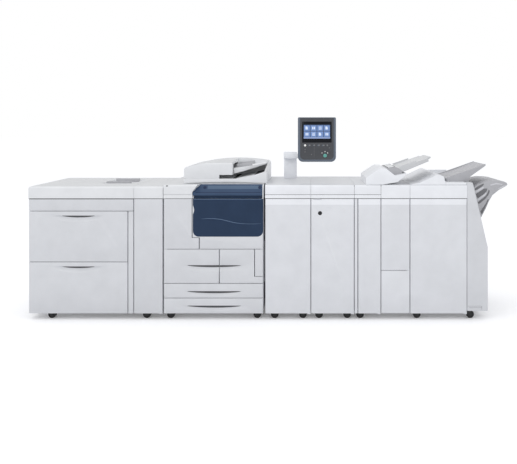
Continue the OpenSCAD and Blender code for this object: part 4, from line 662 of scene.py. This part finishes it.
class PRINTER_OT_trays(bpy.types.Operator):
    """Feed head, output trays, stacker, guides, lock and casters"""

    bl_idname = "printer.trays"
    bl_label = "Trays and casters"

    def execute(self, context):
        sizes = context.scene.printer_sizes
        # the inserter tray takes the same darker copy of the cover's colour, a painted shade
        soften("inserter_tray", 0.004, 3, finish=finish_of("shaded_cover_top"))
        for node in ("bypass_guide_front", "bypass_guide_rear", "inserter_feed_head", "finisher_top_tray",
                     "stacker_tray", "punch_lock", "caster_forks", *(f"caster_wheels_{i}" for i in range(1, 12))):
            soften(node, sizes.small_edge)
        self.feed_head()
        self.stacker_face()
        return {"FINISHED"}

    @staticmethod
    def feed_head():
        """Dark field and pale bars on the feed head's upper face, drawn flat and then laid on it."""
        low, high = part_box("inserter_feed_head")
        run, rise = 0.0577, 0.0129  # the face climbs this far from its left edge to the head's top
        slope = Vector((run, 0.0, rise)).normalized()
        lying = Matrix(((slope.x, 0, -slope.z, low.x + 0.0061), (0, 1, 0, 0), (slope.z, 0, slope.x, high.z - rise),
                        (0, 0, 0, 1)))
        field, bars = bmesh.new(), bmesh.new()
        block(field, (0.003, -0.314, -0.0004), (0.056, 0.054, 0.0006), 0.0003)
        for i in range(4):
            block(bars, (0.009, -0.300 + 0.090 * i, -0.0002), (0.050, -0.236 + 0.090 * i, 0.0034), 0.0014)
        for bm, name, finish in ((field, "head_field", moulded("head_field", (0.16, 0.16, 0.17), rough=0.6)),
                                 (bars, "head_bars", finish_of("pale_cover"))):
            bmesh.ops.transform(bm, matrix=lying, verts=bm.verts)
            keep(bm, name, BODY_OF["inserter_feed_head"], "grey_plastic", finish)

    @staticmethod
    def stacker_face():
        """Painted shade in the hollows and painted highlights on the curved ribs of the stacker's front, given from
        its box's lower left corner.
        """
        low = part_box("stacker_tray")[0]
        hollows = (
            ((0.077, 0.224), (0.083, 0.241), (0.104, 0.256), (0.141, 0.274), (0.147, 0.270), (0.136, 0.255),
             (0.100, 0.232)),
            ((0.087, 0.197), (0.147, 0.237), (0.171, 0.237), (0.166, 0.217), (0.146, 0.197), (0.100, 0.165),
             (0.092, 0.180)),
            ((0.101, 0.137), (0.153, 0.178), (0.173, 0.206), (0.180, 0.226), (0.190, 0.221), (0.180, 0.191),
             (0.155, 0.160), (0.109, 0.123)),
            ((0.120, 0.068), (0.158, 0.125), (0.176, 0.160), (0.182, 0.154), (0.165, 0.116), (0.131, 0.046)),
        )
        ribs = (
            ((0.078, 0.216), (0.141, 0.251), (0.147, 0.241), (0.086, 0.201)),
            ((0.092, 0.156), (0.147, 0.194), (0.160, 0.208), (0.168, 0.200), (0.153, 0.184), (0.100, 0.142)),
            ((0.191, 0.266), (0.237, 0.278), (0.283, 0.270), (0.280, 0.263), (0.237, 0.268), (0.195, 0.257)),
            ((0.248, 0.235), (0.283, 0.255), (0.309, 0.264), (0.308, 0.258), (0.288, 0.248), (0.256, 0.233)),
        )
        for name, shapes, finish in (
            ("stacker_hollow_shade", hollows, moulded("stacker_shade", (0.17, 0.17, 0.18), rough=0.6)),
            ("stacker_rib_highlight", ribs, moulded("stacker_highlight", (0.66, 0.66, 0.69), rough=0.5)),
        ):
            bm = bmesh.new()
            for shape in shapes:
                plate(bm, [(low.x + x, low.z + z) for x, z in shape], low.y - 0.0009, low.y + 0.0005)
            round_edges(bm, 0.0003)
            keep(bm, name, BODY_OF["stacker_tray"], "grey_plastic", finish)


class PRINTER_OT_studio(bpy.types.Operator):
    """Pale floor, soft light and the camera"""

    bl_idname = "printer.studio"
    bl_label = "Studio"

    def execute(self, context):
        scene = context.scene
        scene.view_settings.view_transform = "Standard"
        floor_half = 60
        bm = bmesh.new()
        bmesh.ops.create_grid(bm, x_segments=1, y_segments=1, size=floor_half)
        mesh = bpy.data.meshes.new("floor")
        bm.to_mesh(mesh)
        bm.free()
        floor = bpy.data.objects.new("floor", mesh)
        scene.collection.objects.link(floor)
        mesh.materials.append(self.white_floor())
        self.white_world(scene)
        for name, place, aim, size, power in (
            ("key", (-2.6, -4.2, 4.4), (0.2, 0.0, 0.6), 3.0, 50.0),
            ("fill", (3.6, -4.6, 2.6), (0.4, 0.0, 0.5), 3.0, 12.0),
            ("top", (0.0, -0.4, 5.0), (0.0, 0.0, 0.0), 4.0, 22.0),
        ):
            lamp = bpy.data.lights.new(name, "AREA")
            lamp.shape = "SQUARE"
            lamp.size = size
            lamp.energy = power
            held = bpy.data.objects.new(name, lamp)
            scene.collection.objects.link(held)
            held.location = place
            held.rotation_euler = (Vector(aim) - Vector(place)).to_track_quat("-Z", "Y").to_euler()
        # a level camera that looks straight back, with the sizes of the photograph in pixels
        sensor, photo_w, photo_h, focal = 36.0, 517.0, 464.0, 638.0
        axis_x, axis_y = 310.0, 124.4  # where its axis meets the picture, from the upper left corner
        lens = bpy.data.cameras.new("camera")
        lens.sensor_width = sensor
        lens.lens = sensor * focal / photo_w
        lens.shift_x = (photo_w / 2 - axis_x) / photo_w
        lens.shift_y = (axis_y - photo_h / 2) / photo_w
        lens.dof.use_dof = False
        lens.clip_end = 200.0
        camera = bpy.data.objects.new("camera", lens)
        scene.collection.objects.link(camera)
        camera.location = (0.2873, -4.986, 1.405)
        camera.rotation_euler = (math.radians(90.0), 0.0, 0.0)
        scene.camera = camera
        return {"FINISHED"}

    @staticmethod
    def white_floor():
        """Floor that reads white and keeps the machine's shadow."""
        m = bpy.data.materials.new("studio_floor")
        m.use_nodes = True
        n, link = m.node_tree.nodes, m.node_tree.links
        n.clear()
        out, add, diffuse, lit, path, seen, power, near, shade = (n.new(k) for k in (
            "ShaderNodeOutputMaterial", "ShaderNodeAddShader", "ShaderNodeBsdfDiffuse", "ShaderNodeEmission",
            "ShaderNodeLightPath", "ShaderNodeMath", "ShaderNodeMath", "ShaderNodeAmbientOcclusion",
            "ShaderNodeMapRange"))
        diffuse.inputs["Color"].default_value = (0.86, 0.86, 0.87, 1)
        seen.operation, power.operation = "MAXIMUM", "MULTIPLY"
        shade.inputs["To Min"].default_value, shade.inputs["To Max"].default_value = 0.15, 0.34
        near.inputs["Distance"].default_value = 0.8
        link.new(path.outputs["Is Camera Ray"], seen.inputs[0])
        link.new(path.outputs["Is Glossy Ray"], seen.inputs[1])
        link.new(near.outputs["AO"], shade.inputs["Value"])
        link.new(seen.outputs[0], power.inputs[0])
        link.new(shade.outputs["Result"], power.inputs[1])
        link.new(power.outputs[0], lit.inputs["Strength"])
        link.new(diffuse.outputs[0], add.inputs[0])
        link.new(lit.outputs[0], add.inputs[1])
        link.new(add.outputs[0], out.inputs["Surface"])
        return m

    @staticmethod
    def white_world(scene):
        """World that is white to the eye, and a plain soft light to the machine."""
        world = bpy.data.worlds.new("studio")
        scene.world = world
        world.use_nodes = True
        n, link = world.node_tree.nodes, world.node_tree.links
        n.clear()
        out, mix, light, back, path, seen, through = (n.new(k) for k in (
            "ShaderNodeOutputWorld", "ShaderNodeMixShader", "ShaderNodeBackground", "ShaderNodeBackground",
            "ShaderNodeLightPath", "ShaderNodeMath", "ShaderNodeMath"))
        light.inputs["Color"].default_value = (0.97, 0.98, 1.0, 1)
        light.inputs["Strength"].default_value = 0.8
        back.inputs["Color"].default_value = (1, 1, 1, 1)
        seen.operation = through.operation = "MAXIMUM"
        link.new(path.outputs["Is Camera Ray"], seen.inputs[0])
        link.new(path.outputs["Is Glossy Ray"], seen.inputs[1])
        link.new(seen.outputs[0], through.inputs[0])
        link.new(path.outputs["Is Transmission Ray"], through.inputs[1])
        link.new(through.outputs[0], mix.inputs["Fac"])
        link.new(light.outputs[0], mix.inputs[1])
        link.new(back.outputs[0], mix.inputs[2])
        link.new(mix.outputs[0], out.inputs["Surface"])


OPERATORS = (PRINTER_OT_cabinets, PRINTER_OT_fronts, PRINTER_OT_engine, PRINTER_OT_document_feeder,
             PRINTER_OT_control_panel, PRINTER_OT_trays, PRINTER_OT_studio)


class PRINTER_PT_panel(bpy.types.Panel):
    """Lists the sizes, the colours and the steps"""

    bl_label = "Production printer"
    bl_space_type = "VIEW_3D"
    bl_region_type = "UI"
    bl_category = "Printer"

    def draw(self, context):
        for group in (context.scene.printer_sizes, context.scene.printer_colours):
            for name in group.bl_rna.properties.keys():
                if name not in ("rna_type", "name"):
                    self.layout.prop(group, name)
        for step in OPERATORS:
            self.layout.operator(step.bl_idname)


CLASSES = (PrinterSizes, PrinterColours, *OPERATORS, PRINTER_PT_panel)


def register():
    for c in CLASSES:
        bpy.utils.register_class(c)
    bpy.types.Scene.printer_sizes = PointerProperty(type=PrinterSizes)
    bpy.types.Scene.printer_colours = PointerProperty(type=PrinterColours)


def unregister():
    del bpy.types.Scene.printer_colours
    del bpy.types.Scene.printer_sizes
    for c in reversed(CLASSES):
        bpy.utils.unregister_class(c)


def main():
    register()
    bpy.ops.printer.cabinets()
    bpy.ops.printer.fronts()
    bpy.ops.printer.engine()
    bpy.ops.printer.document_feeder()
    bpy.ops.printer.control_panel()
    bpy.ops.printer.trays()
    bpy.ops.printer.studio()


if __name__ == "__main__":
    main()
